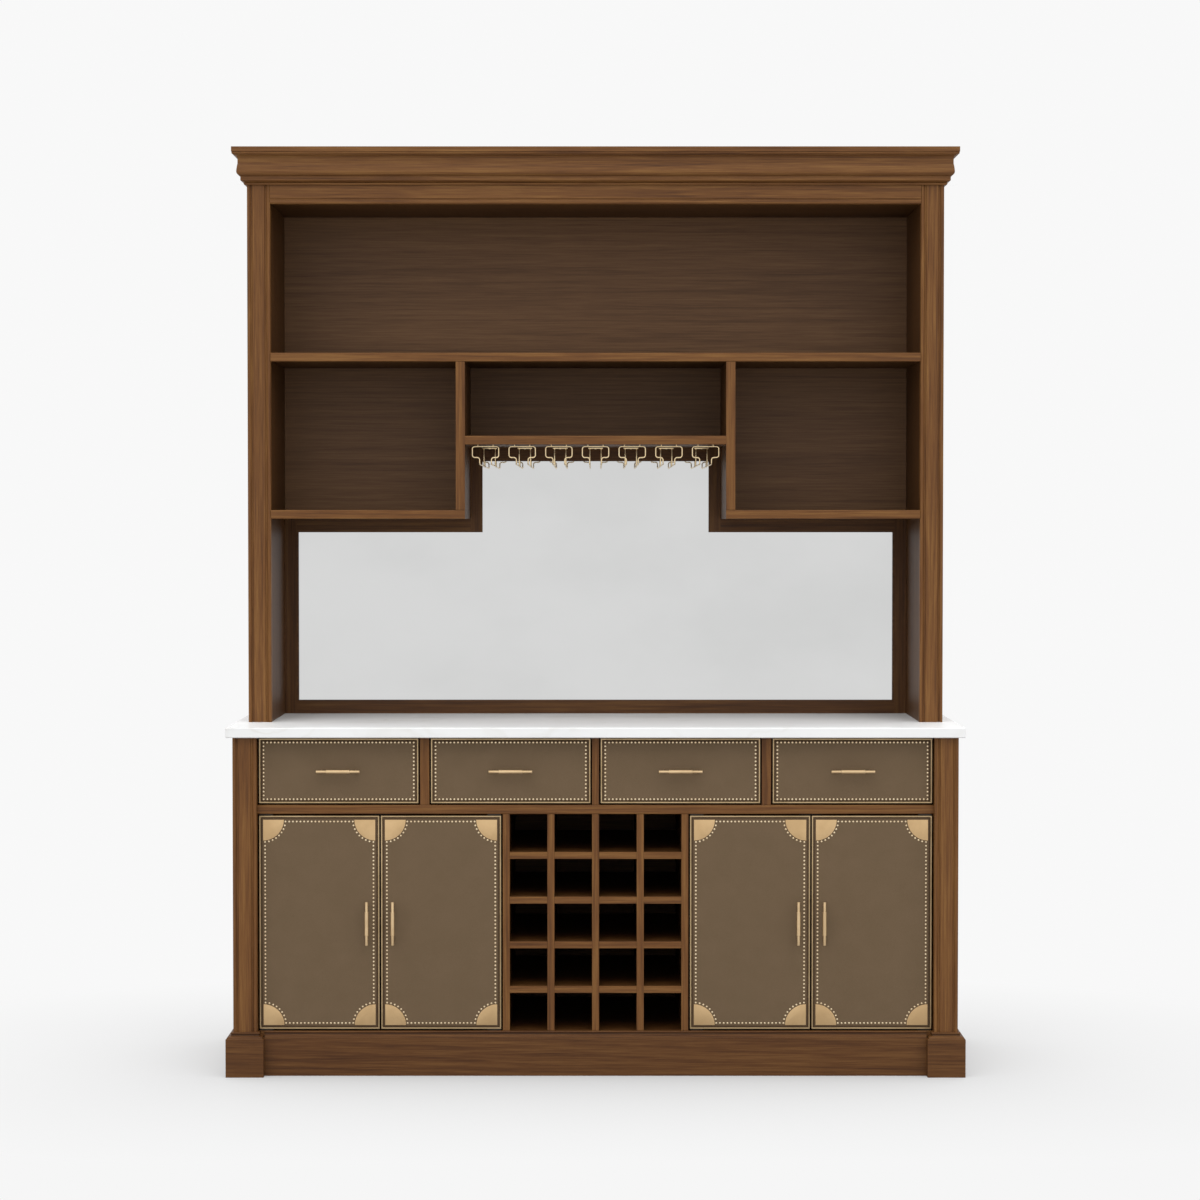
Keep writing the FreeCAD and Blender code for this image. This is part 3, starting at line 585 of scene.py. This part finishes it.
tarnish_range = (0.32, 0.68)
bright_roughness = -0.06
pebble_fineness = 720.0
pebble_edge_share = 0.16
pebble_depth = 0.0002
pebble_strength = 0.30
crease_share = 0.35
crease_shade_share = 0.5
warp_fineness = 260.0
warp_reach = (0.0016, 0.0016, 0.0016)
mottle_fineness = (16.0, 16.0, 16.0)
mottle_range = (0.25, 0.75)
leather_roughness = 0.66
pebble_roughness = -0.10
mottle_roughness = 0.06
same_point = 0.000001


def metal(name, shades, roughness):
    """Brushed and lacquered metal: fine scratches and soft tarnish in colour, gloss and height."""
    material, tree, output = empty_material(name)
    place = own_place(tree)
    scratches = stretched_noise(tree, place, scratch_fineness, detail=2.0)
    tarnish = stretched_noise(tree, place, tarnish_fineness, detail=5.0)
    dull, bright = shades
    tone = between(tree, tarnish, *tarnish_range)
    rough = weighted_sum(
        tree, roughness, (scratches, scratch_roughness), (tone, bright_roughness)
    )
    dents = {"Height": scratches, "Strength": scratch_strength, "Distance": scratch_depth}
    shaded(
        tree,
        output,
        {
            "Base Color": blend(tree, tone, (*dull, 1.0), (*bright, 1.0)),
            "Metallic": 1.0,
            "Roughness": rough,
            "Normal": node(tree, "ShaderNodeBump", dents).outputs["Normal"],
        },
    )
    return material


def leather_finish():
    """Fine pebbled leather: small cells with creases between them, soft mottling, a darker rim of
    wear and painted shade beside the edging.
    """
    material, tree, output = empty_material("leather")
    place = own_place(tree)
    warp = {"Vector": place, "Scale": warp_fineness, "Detail": 2.0}
    warp_colour = node(tree, "ShaderNodeTexNoise", warp).outputs["Color"]
    bent = vector_math(tree, "MULTIPLY_ADD", warp_colour, warp_reach, place)
    cells = node(
        tree,
        "ShaderNodeTexVoronoi",
        {"Vector": bent, "Scale": pebble_fineness},
        feature="DISTANCE_TO_EDGE",
    )
    pebbles = between(tree, cells.outputs["Distance"], 0.0, pebble_edge_share)
    mottle = stretched_noise(tree, place, mottle_fineness, detail=6.0, roughness=0.6)
    deep, worn = leather_shades
    crease_shade = [shade * crease_shade_share for shade in deep]
    colour = blend(tree, between(tree, mottle, *mottle_range), (*deep, 1.0), (*worn, 1.0))
    creases = between(tree, pebbles, 0.0, 1.0, crease_share, 0.0)
    colour = blend(tree, creases, colour, (*crease_shade, 1.0))
    from_side = node(tree, "ShaderNodeAttribute", {}, attribute_name="from_side").outputs["Fac"]
    rim = between(tree, from_side, rim_start, rim_end, 1.0, 0.0)
    rough = weighted_sum(
        tree, leather_roughness, (pebbles, pebble_roughness), (mottle, mottle_roughness)
    )
    dents = {"Height": pebbles, "Strength": pebble_strength, "Distance": pebble_depth}
    shaded(
        tree,
        output,
        {
            "Base Color": blend(tree, rim, colour, rim_wear_and_shade, "MULTIPLY"),
            "Roughness": rough,
            "Normal": node(tree, "ShaderNodeBump", dents).outputs["Normal"],
            "Specular IOR Level": leather_gloss,
        },
    )
    return material


leather = leather_finish()
brass = metal("brass", brass_shades, brass_roughness)
nail_brass = metal("nail_brass", nail_shades, nail_roughness)
edging_brass = metal("edging_brass", edging_shades, edging_roughness)


def joined(parts):
    """Several (points, faces) made into one, the later faces counted on from the earlier points."""
    counts = np.cumsum([0] + [len(points) for points, _ in parts])
    points = np.concatenate([points for points, _ in parts])
    faces = [face + first for (_, part), first in zip(parts, counts) for face in part]
    return points, faces


def piece(name, shape, material, body, slot, stands_for=(), smooth_limit=35.0):
    """A finished piece from (points, faces), smooth except where its faces turn sharply."""
    points, faces = shape
    mesh = bpy.data.meshes.new(name)
    corners = [np.asarray(face).tolist() for face in faces]
    mesh.from_pydata(np.asarray(points).tolist(), [], corners)
    work = bmesh.new()
    work.from_mesh(mesh)
    bmesh.ops.remove_doubles(work, verts=work.verts, dist=same_point)
    bmesh.ops.recalc_face_normals(work, faces=work.faces)
    work.to_mesh(mesh)
    work.free()
    mesh.shade_smooth()
    mesh.set_sharp_from_angle(angle=np.radians(smooth_limit))
    mesh.materials.append(material)
    made = bpy.data.objects.new(name, mesh)
    bpy.context.scene.collection.objects.link(made)
    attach(made, body)
    if stands_for:
        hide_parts(*stands_for)
    return made


def skin(rings, round_again=False, ends=True):
    """Quads between neighbouring closed rings of points, (rings, points, 3), and its end faces.

    Point j of ring i meets point j of ring i + 1; round_again joins the last ring to the first.
    """
    count, size = rings.shape[:2]
    index = np.arange(count * size).reshape(count, size)
    index = np.concatenate([index, index[:, :1]], axis=1)
    if round_again:
        index = np.concatenate([index, index[:1]], axis=0)
    quads = np.stack([index[:-1, :-1], index[:-1, 1:], index[1:, 1:], index[1:, :-1]], axis=-1)
    faces = list(quads.reshape(-1, 4))
    if ends and not round_again:
        faces += [index[0, :size], index[-1, :size]]
    return rings.reshape(-1, 3), faces


def rectangle_rings(low, high, steps):
    """Four corners of a front's rectangle for each (inset, depth behind the foremost plane)."""
    steps = np.asarray(steps)
    inset = steps[:, 0][:, None]
    depth = steps[:, 1][:, None]
    side = np.array([0, 1, 1, 0])
    up = np.array([0, 0, 1, 1])
    x = np.where(side, high[0] - inset, low[0] + inset)
    z = np.where(up, high[2] - inset, low[2] + inset)
    y = low[1] + depth + 0 * x
    return np.stack([x, y, z], axis=-1)


def rounding(radius, steps=5):
    """Inset r(1 - sin a) and depth r(1 - cos a) along a quarter circle, from front to side."""
    angle = np.linspace(0.0, quarter_turn, steps)
    return np.stack([radius * (1 - np.sin(angle)), radius * (1 - np.cos(angle))], axis=-1)


def shifted(steps, inset=0.0, depth=0.0):
    """The same steps further in and further back."""
    return np.asarray(steps) + (inset, depth)


def leather_front(low, high):
    """A leather sheet that rolls back against the edging; its first ring ends the dark rim."""
    flat = [(rim_end, leather_recess)]
    roll = shifted(rounding(leather_roll), edging_width, leather_recess)
    back = shifted([(0.0, leather_thickness + leather_roll)], edging_width, leather_recess)
    return skin(rectangle_rings(low, high, np.concatenate([flat, roll, back])))


def mark_rim(leather_piece, low, high):
    """Store how far each point lies from the nearest side of the front."""
    mesh = leather_piece.data
    points = np.empty(len(mesh.vertices) * 3)
    mesh.vertices.foreach_get("co", points)
    points = points.reshape(-1, 3)
    inwards = np.minimum(points - low, high - points)
    from_side = np.minimum(inwards[:, 0], inwards[:, 2])
    mesh.attributes.new("from_side", "FLOAT", "POINT").data.foreach_set("value", from_side)


def core_board(low, high):
    """The wooden core, its front edge sloped and rebated for the edging, rounded at its back."""
    depth = high[1] - low[1]
    under = leather_recess + leather_thickness
    back = shifted([(0.0, depth)]) - rounding(core_round)[::-1] * (-1, 1)
    steps = np.concatenate(
        [
            [(edging_width + leather_roll, under), (edging_width, under + leather_roll)],
            [(edging_width, edging_depth), (0.0, edging_depth)],
            back,
        ]
    )
    return skin(rectangle_rings(low, high, steps))


def edging_frame(low, high):
    """The edging's section, rounded outside and bevelled inside, carried round the front."""
    outer = rounding(edging_round)[::-1]
    inner = [(edging_width - edging_bevel, 0.0), (edging_width, edging_bevel)]
    section = np.concatenate([[(0.0, edging_depth)], outer, inner, [(edging_width, edging_depth)]])
    rings = rectangle_rings(low, high, section)
    return skin(rings, round_again=True, ends=False)


def quarter_plate(corner, to_x, to_z, y):
    """A quarter disc of sheet metal; each ring is its outline, drawn in as its edge rounds over."""
    edge = rounding(plate_round)
    steps = np.concatenate([edge, [(0.0, plate_thickness)]])
    inset = steps[:, 0][:, None]
    radius = plate_radius - inset
    start = np.arcsin(inset / radius)
    angle = start + np.linspace(0.0, 1.0, plate_steps) * (quarter_turn - 2 * start)
    aside = np.concatenate([inset, radius * np.cos(angle)], axis=1)
    up = np.concatenate([inset, radius * np.sin(angle)], axis=1)
    depth = y - plate_thickness + steps[:, 1][:, None] + 0 * aside
    return skin(np.stack([corner[0] + to_x * aside, depth, corner[1] + to_z * up], axis=-1))


def nail_row(start, end):
    """Places from start to end at nearly the nails' pitch, the last one left to the next row."""
    start = np.asarray(start, float)
    end = np.asarray(end, float)
    count = max(1, round(float(np.linalg.norm(end - start)) / nail_pitch))
    share = np.arange(count)[:, None] / count
    return start + share * (end - start)


def nail_domes(places, y):
    """A low dome on each (x, z) place: rings that shrink as a quarter ellipse rises to its top."""
    angle = np.arange(nail_sides) * 2 * np.pi / nail_sides
    rise = np.arange(nail_rings) / nail_rings * quarter_turn
    radius = nail_radius * np.cos(rise)[:, None]
    height = nail_height * np.sin(rise)[:, None] + 0 * angle
    dome = np.stack([radius * np.cos(angle), -height, radius * np.sin(angle)], axis=-1)
    points, faces = skin(dome, ends=False)
    top = len(points)
    last = np.arange(top - nail_sides, top)
    crown = np.stack([last, np.roll(last, -1), np.full(nail_sides, top)], axis=-1)
    foot = np.arange(nail_sides)
    points = np.concatenate([points, [(0.0, -nail_height, 0.0)]])
    faces = faces + list(crown) + [foot]
    offsets = np.stack([places[:, 0], np.full(len(places), y), places[:, 1]], axis=-1)
    return joined([(points + offset, faces) for offset in offsets])


def door_nail_places(low, high):
    """Nails round the four quarter discs and in straight rows between them."""
    arc_rise = door_nail_inset - plate_inset
    meet = plate_inset + np.sqrt(nail_arc_radius**2 - arc_rise**2)
    turn = np.arcsin(arc_rise / nail_arc_radius)
    steps = round(float(nail_arc_radius * (quarter_turn - 2 * turn) / nail_pitch))
    angle = turn + np.arange(steps) / steps * (quarter_turn - 2 * turn)
    left, right = low[0], high[0]
    foot, top = low[2], high[2]
    rows = []
    for x, to_x, z, to_z in (
        (left, 1, foot, 1), (right, -1, foot, 1), (right, -1, top, -1), (left, 1, top, -1),
    ):
        turned = angle if to_x * to_z < 0 else quarter_turn - angle
        centre = np.array([x + to_x * plate_inset, z + to_z * plate_inset])
        reach = nail_arc_radius * np.stack([to_x * np.cos(turned), to_z * np.sin(turned)], axis=-1)
        rows.append(centre + reach)
    row_left, row_right = left + door_nail_inset, right - door_nail_inset
    row_foot, row_top = foot + door_nail_inset, top - door_nail_inset
    rows.append(nail_row((left + meet, row_foot), (right - meet, row_foot)))
    rows.append(nail_row((row_right, foot + meet), (row_right, top - meet)))
    rows.append(nail_row((right - meet, row_top), (left + meet, row_top)))
    rows.append(nail_row((row_left, top - meet), (row_left, foot + meet)))
    return np.concatenate(rows)


def drawer_nail_places(low, high):
    """Nails in four straight rows."""
    left = low[0] + drawer_nail_inset[0]
    right = high[0] - drawer_nail_inset[0]
    foot = low[2] + drawer_nail_inset[1]
    top = high[2] - drawer_nail_inset[1]
    starts = [(left, foot), (right, foot), (right, top), (left, top)]
    ends = starts[1:] + starts[:1]
    return np.concatenate([nail_row(start, end) for start, end in zip(starts, ends)])


def dressed_front(name, low, high, core_wood, panel, trim, edging_name):
    """One front's core, leather and edging; panel and trim are the nodes that they stand for."""
    piece(f"{name}_core", core_board(low, high), core_wood, name, "walnut_inside")
    sheet = piece(f"{name}_leather", leather_front(low, high), leather, name, "leather", [panel])
    mark_rim(sheet, low, high)
    piece(edging_name, edging_frame(low, high), edging_brass, name, "brass", [trim])


def nailed(name, places, y):
    """The brass nails of one front."""
    nails = nail_domes(places, y)
    piece(f"{name}_nails", nails, nail_brass, name, "brass", smooth_limit=nail_smooth_limit)


for number in range(1, 5):
    name = f"door_{number}"
    panel = f"{name}_panel"
    trim = f"{name}_trim"
    low, high = (np.array(corner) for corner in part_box(panel))
    _, trim_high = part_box(trim)
    low[1] = trim_high[1] - edging_depth
    leather_y = low[1] + leather_recess
    dressed_front(name, low, high, walnut_upright, panel, trim, f"{name}_edging")
    plates = [
        quarter_plate((x, z), to_x, to_z, leather_y)
        for x, to_x in ((low[0] + plate_inset, 1), (high[0] - plate_inset, -1))
        for z, to_z in ((low[2] + plate_inset, 1), (high[2] - plate_inset, -1))
    ]
    piece(f"{name}_corner_plates", joined(plates), brass, name, "brass")
    nailed(name, door_nail_places(low, high), leather_y)

for number in range(1, 5):
    name = f"drawer_{number}"
    panel = f"{name}_front"
    trim = f"{name}_edging"
    low, high = (np.array(corner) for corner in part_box(panel))
    trim_low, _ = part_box(trim)
    low[1] = trim_low[1]
    dressed_front(name, low, high, walnut_across, panel, trim, f"{name}_brass_edging")
    nailed(name, drawer_nail_places(low, high), low[1] + leather_recess)

# The pulls
# Turned brass bars with a thicker grip, cross-knurled so that the fingers hold it, on two
# posts screwed through the leather from behind.
pull_shades = ((0.70, 0.50, 0.28), (0.82, 0.60, 0.35))
pull_roughness = 0.30
grip_length = 0.060
grip_radius = 0.0054
end_radius = 0.0040
bar_length = 0.1125
shoulder = 0.0018
end_round = 0.0010
post_radius = 0.0026
post_spacing = 0.088
pull_standoff = 0.026
knurl_depth = 0.00014
knurls_round = 26
knurl_rise = 0.0020
knurl_samples = 4
bar_sides = 40
post_sides = 24
to_right = (1.0, 0.0, 0.0)
to_front = (0.0, -1.0, 0.0)
to_back = (0.0, 1.0, 0.0)
upwards = (0.0, 0.0, 1.0)
downwards = (0.0, 0.0, -1.0)


def turned(profile, centre, along, aside, sides):
    """A profile of (distance along the axis, radius) turned round that axis."""
    along = np.asarray(along, float)
    aside = np.asarray(aside, float)
    third = np.cross(along, aside)
    angle = np.arange(sides) * 2 * np.pi / sides
    spoke = np.cos(angle)[:, None] * aside + np.sin(angle)[:, None] * third
    profile = np.asarray(profile)
    rings = profile[:, 0][:, None, None] * along + profile[:, 1][:, None, None] * spoke
    return skin(rings + np.asarray(centre))


def knurled_grip(centre, along, aside):
    """A cylinder whose skin is cut by two crossing spirals, which leaves rows of small diamonds.

    Each spiral is a triangle wave of angle * knurls_round / 2 pi plus or minus place / knurl_rise.
    """
    along = np.asarray(along, float)
    aside = np.asarray(aside, float)
    third = np.cross(along, aside)
    sides = knurls_round * knurl_samples
    rows = int(grip_length / knurl_rise * knurl_samples) + 1
    angle = (np.arange(sides) * 2 * np.pi / sides)[None, :]
    place = np.linspace(-grip_length / 2, grip_length / 2, rows)[:, None]
    left = (angle * knurls_round / (2 * np.pi) + place / knurl_rise) % 1.0
    right = (angle * knurls_round / (2 * np.pi) - place / knurl_rise) % 1.0
    ridge = np.minimum(np.abs(2 * left - 1), np.abs(2 * right - 1))
    edge = np.clip((grip_length / 2 - np.abs(place)) / shoulder, 0.0, 1.0)
    radius = grip_radius - knurl_depth * (1 - ridge) * edge
    spoke = np.cos(angle)[..., None] * aside + np.sin(angle)[..., None] * third
    return skin(place[..., None] * along + radius[..., None] * spoke + np.asarray(centre))


def bar_profile():
    """The slim ends and conical shoulders, right through the grip."""
    half = bar_length / 2
    tip = rounding(end_round)
    left = np.stack([tip[:, 1] - half, end_radius - tip[:, 0]], axis=-1)
    neck = [
        (-grip_length / 2 - shoulder, end_radius),
        (-grip_length / 2 - shoulder / 2, (end_radius + grip_radius) / 2),
        (-grip_length / 2, grip_radius - knurl_depth),
    ]
    left = np.concatenate([left, neck])
    return np.concatenate([left, left[::-1] * (-1, 1)])


def pull(name, body, stands_for, along):
    """A bar with its grip and two posts, set from the CAD pull's own box."""
    low, high = (np.array(corner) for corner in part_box(stands_for))
    centre = (low + high) / 2
    centre[1] = high[1] - pull_standoff
    parts = [
        turned(bar_profile(), centre, along, to_front, bar_sides),
        knurled_grip(centre, along, to_front),
    ]
    post = [(0.0, post_radius), (pull_standoff, post_radius)]
    for side in (-1, 1):
        start = centre + np.asarray(along, float) * side * post_spacing / 2
        parts.append(turned(post, start, to_back, along, post_sides))
    return piece(name, joined(parts), pull_brass, body, "brass", [stands_for])


pull_brass = metal("pull_brass", pull_shades, pull_roughness)
for number in range(1, 5):
    pull(f"door_{number}_handle", f"door_{number}", f"door_{number}_pull", upwards)
    pull(f"drawer_{number}_handle", f"drawer_{number}", f"drawer_{number}_pull", to_right)

# Drawer boxes, runners, pivots and catches
# Pale, plainly finished drawer boxes on channels of blackened steel; pins of the same steel in
# let-in leaves carry the doors, which close against magnet blocks.
drawer_shades = ((0.20, 0.115, 0.055), (0.30, 0.185, 0.095), (0.38, 0.25, 0.14))
drawer_side = 0.012
drawer_rings = 16.0
drawer_roughness = 0.5
blackened_shades = ((0.030, 0.026, 0.023), (0.055, 0.048, 0.042))
blackened_roughness = 0.45


def grain_of_box(tree, low_x, high_x):
    """Grain along the depth in the two sides of a box, and along the width between them."""
    sideways = node(tree, "ShaderNodeSeparateXYZ", {0: own_place(tree)}).outputs["X"]
    from_middle = math(tree, "ABSOLUTE", math(tree, "SUBTRACT", sideways, (low_x + high_x) / 2))
    in_side = math(tree, "GREATER_THAN", from_middle, (high_x - low_x) / 2 - drawer_side)
    return either_grain(tree, in_side, grain_along_width, grain_along_depth)


blackened_steel = metal("blackened_steel", blackened_shades, blackened_roughness)
for number in range(1, 5):
    box_low, box_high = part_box(f"drawer_{number}_box")
    drawer_wood = wood(
        f"drawer_wood_{number}",
        lambda tree: grain_of_box(tree, box_low[0], box_high[0]),
        drawer_shades,
        rings=drawer_rings,
        roughness=drawer_roughness,
        coat=0.0,
    )
    break_arrises(finish_node(f"drawer_{number}_box", drawer_wood))
    finish_node(f"drawer_{number}_slides", blackened_steel)
for name in ("drawer_runners", "door_pivots", "door_catches"):
    finish_node(name, blackened_steel)

# The counter
# One slab of white veined stone, polished, with eased edges, that lies on the base and
# overhangs it at the front and sides.
stone_white = (0.84, 0.84, 0.835, 1.0)
stone_cloud = (0.80, 0.80, 0.795, 1.0)
stone_vein = (0.56, 0.56, 0.55, 1.0)
stone_gold = (0.60, 0.53, 0.40, 1.0)
stone_polish = 0.35
vein_share = 0.22
vein_half_width_share = 0.014
vein_depth = 0.0001
vein_relief = 0.08
stone_warp_fineness = 1.6
stone_warp_reach = (0.55, 0.55, 0.55)
cloud_fineness = (2.0, 3.5, 3.5)
cloud_range = (0.35, 0.75)
veined_range = (0.42, 0.62)
line_fineness = (0.9, 2.6, 2.6)
gold_range = (0.47, 0.53)
stone_roughness = 0.30
cloud_roughness = 0.10
stone_polish_roughness = 0.05
counter_ease = 0.0005


def stone_finish():
    """White stone: soft clouds, thin branching veins where a warped noise crosses its middle."""
    material, tree, output = empty_material("white_stone")
    place = own_place(tree)
    warp = {"Vector": place, "Scale": stone_warp_fineness, "Detail": 6.0}
    warp_colour = node(tree, "ShaderNodeTexNoise", warp).outputs["Color"]
    bent = vector_math(tree, "MULTIPLY_ADD", warp_colour, stone_warp_reach, place)
    clouds = stretched_noise(tree, bent, cloud_fineness, detail=5.0)
    lines = stretched_noise(tree, bent, line_fineness, detail=3.0)
    off_line = math(tree, "ABSOLUTE", math(tree, "SUBTRACT", lines, 0.5))
    vein = between(tree, off_line, 0.0, vein_half_width_share, 1.0, 0.0)
    vein = math(tree, "MULTIPLY", vein, between(tree, clouds, *veined_range))
    base = blend(tree, between(tree, clouds, *cloud_range), stone_white, stone_cloud)
    tint = blend(tree, between(tree, lines, *gold_range), stone_vein, stone_gold)
    dents = {"Height": vein, "Strength": vein_relief, "Distance": vein_depth}
    shaded(
        tree,
        output,
        {
            "Base Color": blend(tree, math(tree, "MULTIPLY", vein, vein_share), base, tint),
            "Roughness": weighted_sum(tree, stone_roughness, (clouds, cloud_roughness)),
            "Normal": node(tree, "ShaderNodeBump", dents).outputs["Normal"],
            "Specular IOR Level": 0.0,
            "Coat Weight": stone_polish,
            "Coat Roughness": stone_polish_roughness,
        },
    )
    return material


break_arrises(finish_node("countertop", stone_finish()), counter_ease)

# The mirror
# One pane of silvered glass, clean except for the faintest haze, in a rebated walnut frame of
# eight lengths: three run across the whole width of a bay, and the others stand between them.
frame_stile_width = 0.0325
frame_face_width = 0.037
centre_bay_half = 0.344
side_bay_top = 1.4396
mirror_silver = (0.715, 0.717, 0.714, 1.0)
mirror_haze = (0.665, 0.668, 0.664, 1.0)
haze_fineness = (1.4, 1.4, 2.2)
haze_range = (0.35, 0.7)
glass_roughness = 0.015
haze_roughness = 0.02
ripple_depth = 0.00005
ripple_relief = 0.02
glass_ripple_fineness = (5.0, 5.0, 5.0)


def mirror_finish():
    """Silvered glass: almost smooth, with a faint drifting haze in its colour and gloss."""
    material, tree, output = empty_material("mirror_glass")
    place = own_place(tree)
    haze = between(tree, stretched_noise(tree, place, haze_fineness, detail=4.0), *haze_range)
    ripple = stretched_noise(tree, place, glass_ripple_fineness, detail=1.0)
    dents = {"Height": ripple, "Strength": ripple_relief, "Distance": ripple_depth}
    shaded(
        tree,
        output,
        {
            "Base Color": blend(tree, haze, mirror_silver, mirror_haze),
            "Metallic": 1.0,
            "Roughness": weighted_sum(tree, glass_roughness, (haze, haze_roughness)),
            "Normal": node(tree, "ShaderNodeBump", dents).outputs["Normal"],
        },
    )
    return material


def grain_of_frame(tree):
    """Upright grain in the frame's outer and inner stiles, and grain across in its rails."""
    aside, _, height = own_places(tree)
    outer = math(tree, "GREATER_THAN", aside, opening_corner[0] - frame_stile_width)
    inner = math(
        tree,
        "MULTIPLY",
        math(tree, "GREATER_THAN", aside, centre_bay_half - frame_face_width),
        math(tree, "LESS_THAN", aside, centre_bay_half),
    )
    upper = math(tree, "GREATER_THAN", height, side_bay_top - frame_face_width)
    stiles = math(tree, "MAXIMUM", outer, math(tree, "MULTIPLY", inner, upper))
    return either_grain(tree, stiles, grain_along_width, grain_along_height)


finish_node("mirror", mirror_finish())
# The whole frame has shade painted into its colour
shaded_frame_walnut = wood("walnut_mirror_frame_painted_shade", grain_of_frame, walnut_shades, darker=lambda tree: 1.0)
break_arrises(finish_node("mirror_frame", shaded_frame_walnut))

# The stemware hangers
# Seven racks, each one brass wire bent into two rails and a keyhole-shaped loop in front. A
# bracket with a screw holds the rails' rear ends, and two short studs hold the loop.
hanger_count = 7
hanger_pitch = 0.0968
wire_radius = 0.0017
loop_half = 0.0348
neck_half = 0.0155
bend_radius = 0.0065
bend_steps = 7
hanger_drop = 0.0045
shoulder_drop = 0.0291
hanger_shades = ((0.92, 0.71, 0.42), (0.99, 0.80, 0.50))
hanger_roughness = 0.28
rail_drop = 0.018
hanger_setback = 0.013
wire_sides = 12
plate_half_width = 0.020
plate_depth = 0.014
bracket_plate = 0.004
leg_half = 0.0015
screw_radius = 0.0030
screw_height = 0.0014
stud_radius = 0.0015
stud_half_spacing = 0.020
stud_sides = 12
screw_sides = 16
bracket_round = 0.0006
bracket_steps = 3
ring_start = np.array([0.48, 0.62, 0.62])


def rounded_route(corners, radius):
    """Straight runs joined by arcs that touch both runs at the radius from each square corner."""
    corners = np.asarray(corners, float)
    middle = corners[1:-1]
    back = corners[:-2] - middle
    ahead = corners[2:] - middle
    back = back / np.linalg.norm(back, axis=1)[:, None]
    ahead = ahead / np.linalg.norm(ahead, axis=1)[:, None]
    angle = np.linspace(0.0, quarter_turn, bend_steps)[None, :, None]
    reach = back[:, None] * (1 - np.sin(angle)) + ahead[:, None] * (1 - np.cos(angle))
    arcs = middle[:, None] + radius * reach
    return np.concatenate([corners[:1], arcs.reshape(-1, 3), corners[-1:]])


def wire(route, radius, sides):
    """A round wire along a route; each ring stands square to the route where it is.

    The first point of every ring lies towards ring_start, which is along no run of the wire.
    """
    ahead = np.gradient(route, axis=0)
    ahead = ahead / np.linalg.norm(ahead, axis=1)[:, None]
    aside = ring_start - (ahead @ ring_start)[:, None] * ahead
    aside = (aside / np.linalg.norm(aside, axis=1)[:, None])[:, None]
    third = np.cross(ahead[:, None], aside)
    angle = (np.arange(sides) * 2 * np.pi / sides)[None, :, None]
    return skin(route[:, None] + radius * (np.cos(angle) * aside + np.sin(angle) * third))


def block(low, high):
    """A small block with its front and rear edges rounded over."""
    front = rounding(bracket_round, bracket_steps)
    back = np.array([0.0, high[1] - low[1]]) - front[::-1] * (-1, 1)
    return skin(rectangle_rings(low, high, np.concatenate([front, back])))


hanger_brass = metal("hanger_brass", hanger_shades, hanger_roughness)
_, hanger_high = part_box("stemware_hangers")
hutch_shelf_low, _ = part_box("hutch_shelves")
shelf_foot = hanger_high[2]
rear_y = hanger_high[1]
loop_y = hutch_shelf_low[1] + hanger_setback
loop_top = shelf_foot - hanger_drop
shoulder_z = loop_top - shoulder_drop
rail_z = shoulder_z - rail_drop


def hanger_route(x):
    """The wire's middle line: out along one rail, round the keyhole loop and back."""
    half = np.array(
        [
            (x + neck_half, rear_y, rail_z),
            (x + neck_half, loop_y, rail_z),
            (x + neck_half, loop_y, shoulder_z),
            (x + loop_half, loop_y, shoulder_z),
            (x + loop_half, loop_y, loop_top),
        ]
    )
    other = half[::-1] * (-1, 1, 1) + (2 * x, 0, 0)
    return rounded_route(np.concatenate([half, other]), bend_radius)


def hanger_bracket(x):
    """The plate with its screw, the legs that carry the rails, and the loop's two studs."""
    plate_foot = shelf_foot - bracket_plate
    plate_low = (x - plate_half_width, rear_y - plate_depth, plate_foot)
    leg_y = rear_y - plate_depth / 2
    parts = [block(plate_low, (x + plate_half_width, rear_y, shelf_foot))]
    stud = [(0.0, stud_radius), (hanger_drop, stud_radius)]
    for side in (-1, 1):
        stud_foot = (x + side * stud_half_spacing, loop_y, loop_top)
        parts.append(turned(stud, stud_foot, upwards, to_right, stud_sides))
        leg_x = x + side * neck_half
        leg_low = (leg_x - leg_half, leg_y - leg_half, rail_z)
        parts.append(block(leg_low, (leg_x + leg_half, leg_y + leg_half, plate_foot)))
    screw = [
        (0.0, screw_radius),
        (screw_height / 2, screw_radius),
        (screw_height, screw_radius / 2),
    ]
    parts.append(turned(screw, (x, leg_y, plate_foot), downwards, to_right, screw_sides))
    return joined(parts)


for number in range(hanger_count):
    name = f"hanger_{number + 1}"
    x = (number - (hanger_count - 1) / 2) * hanger_pitch
    bent = wire(hanger_route(x), wire_radius, wire_sides)
    stands_for = ["stemware_hangers"] if number == 0 else ()
    piece(f"{name}_wire", bent, hanger_brass, "carcass", "brass", stands_for)
    piece(f"{name}_bracket", hanger_bracket(x), hanger_brass, "carcass", "brass")
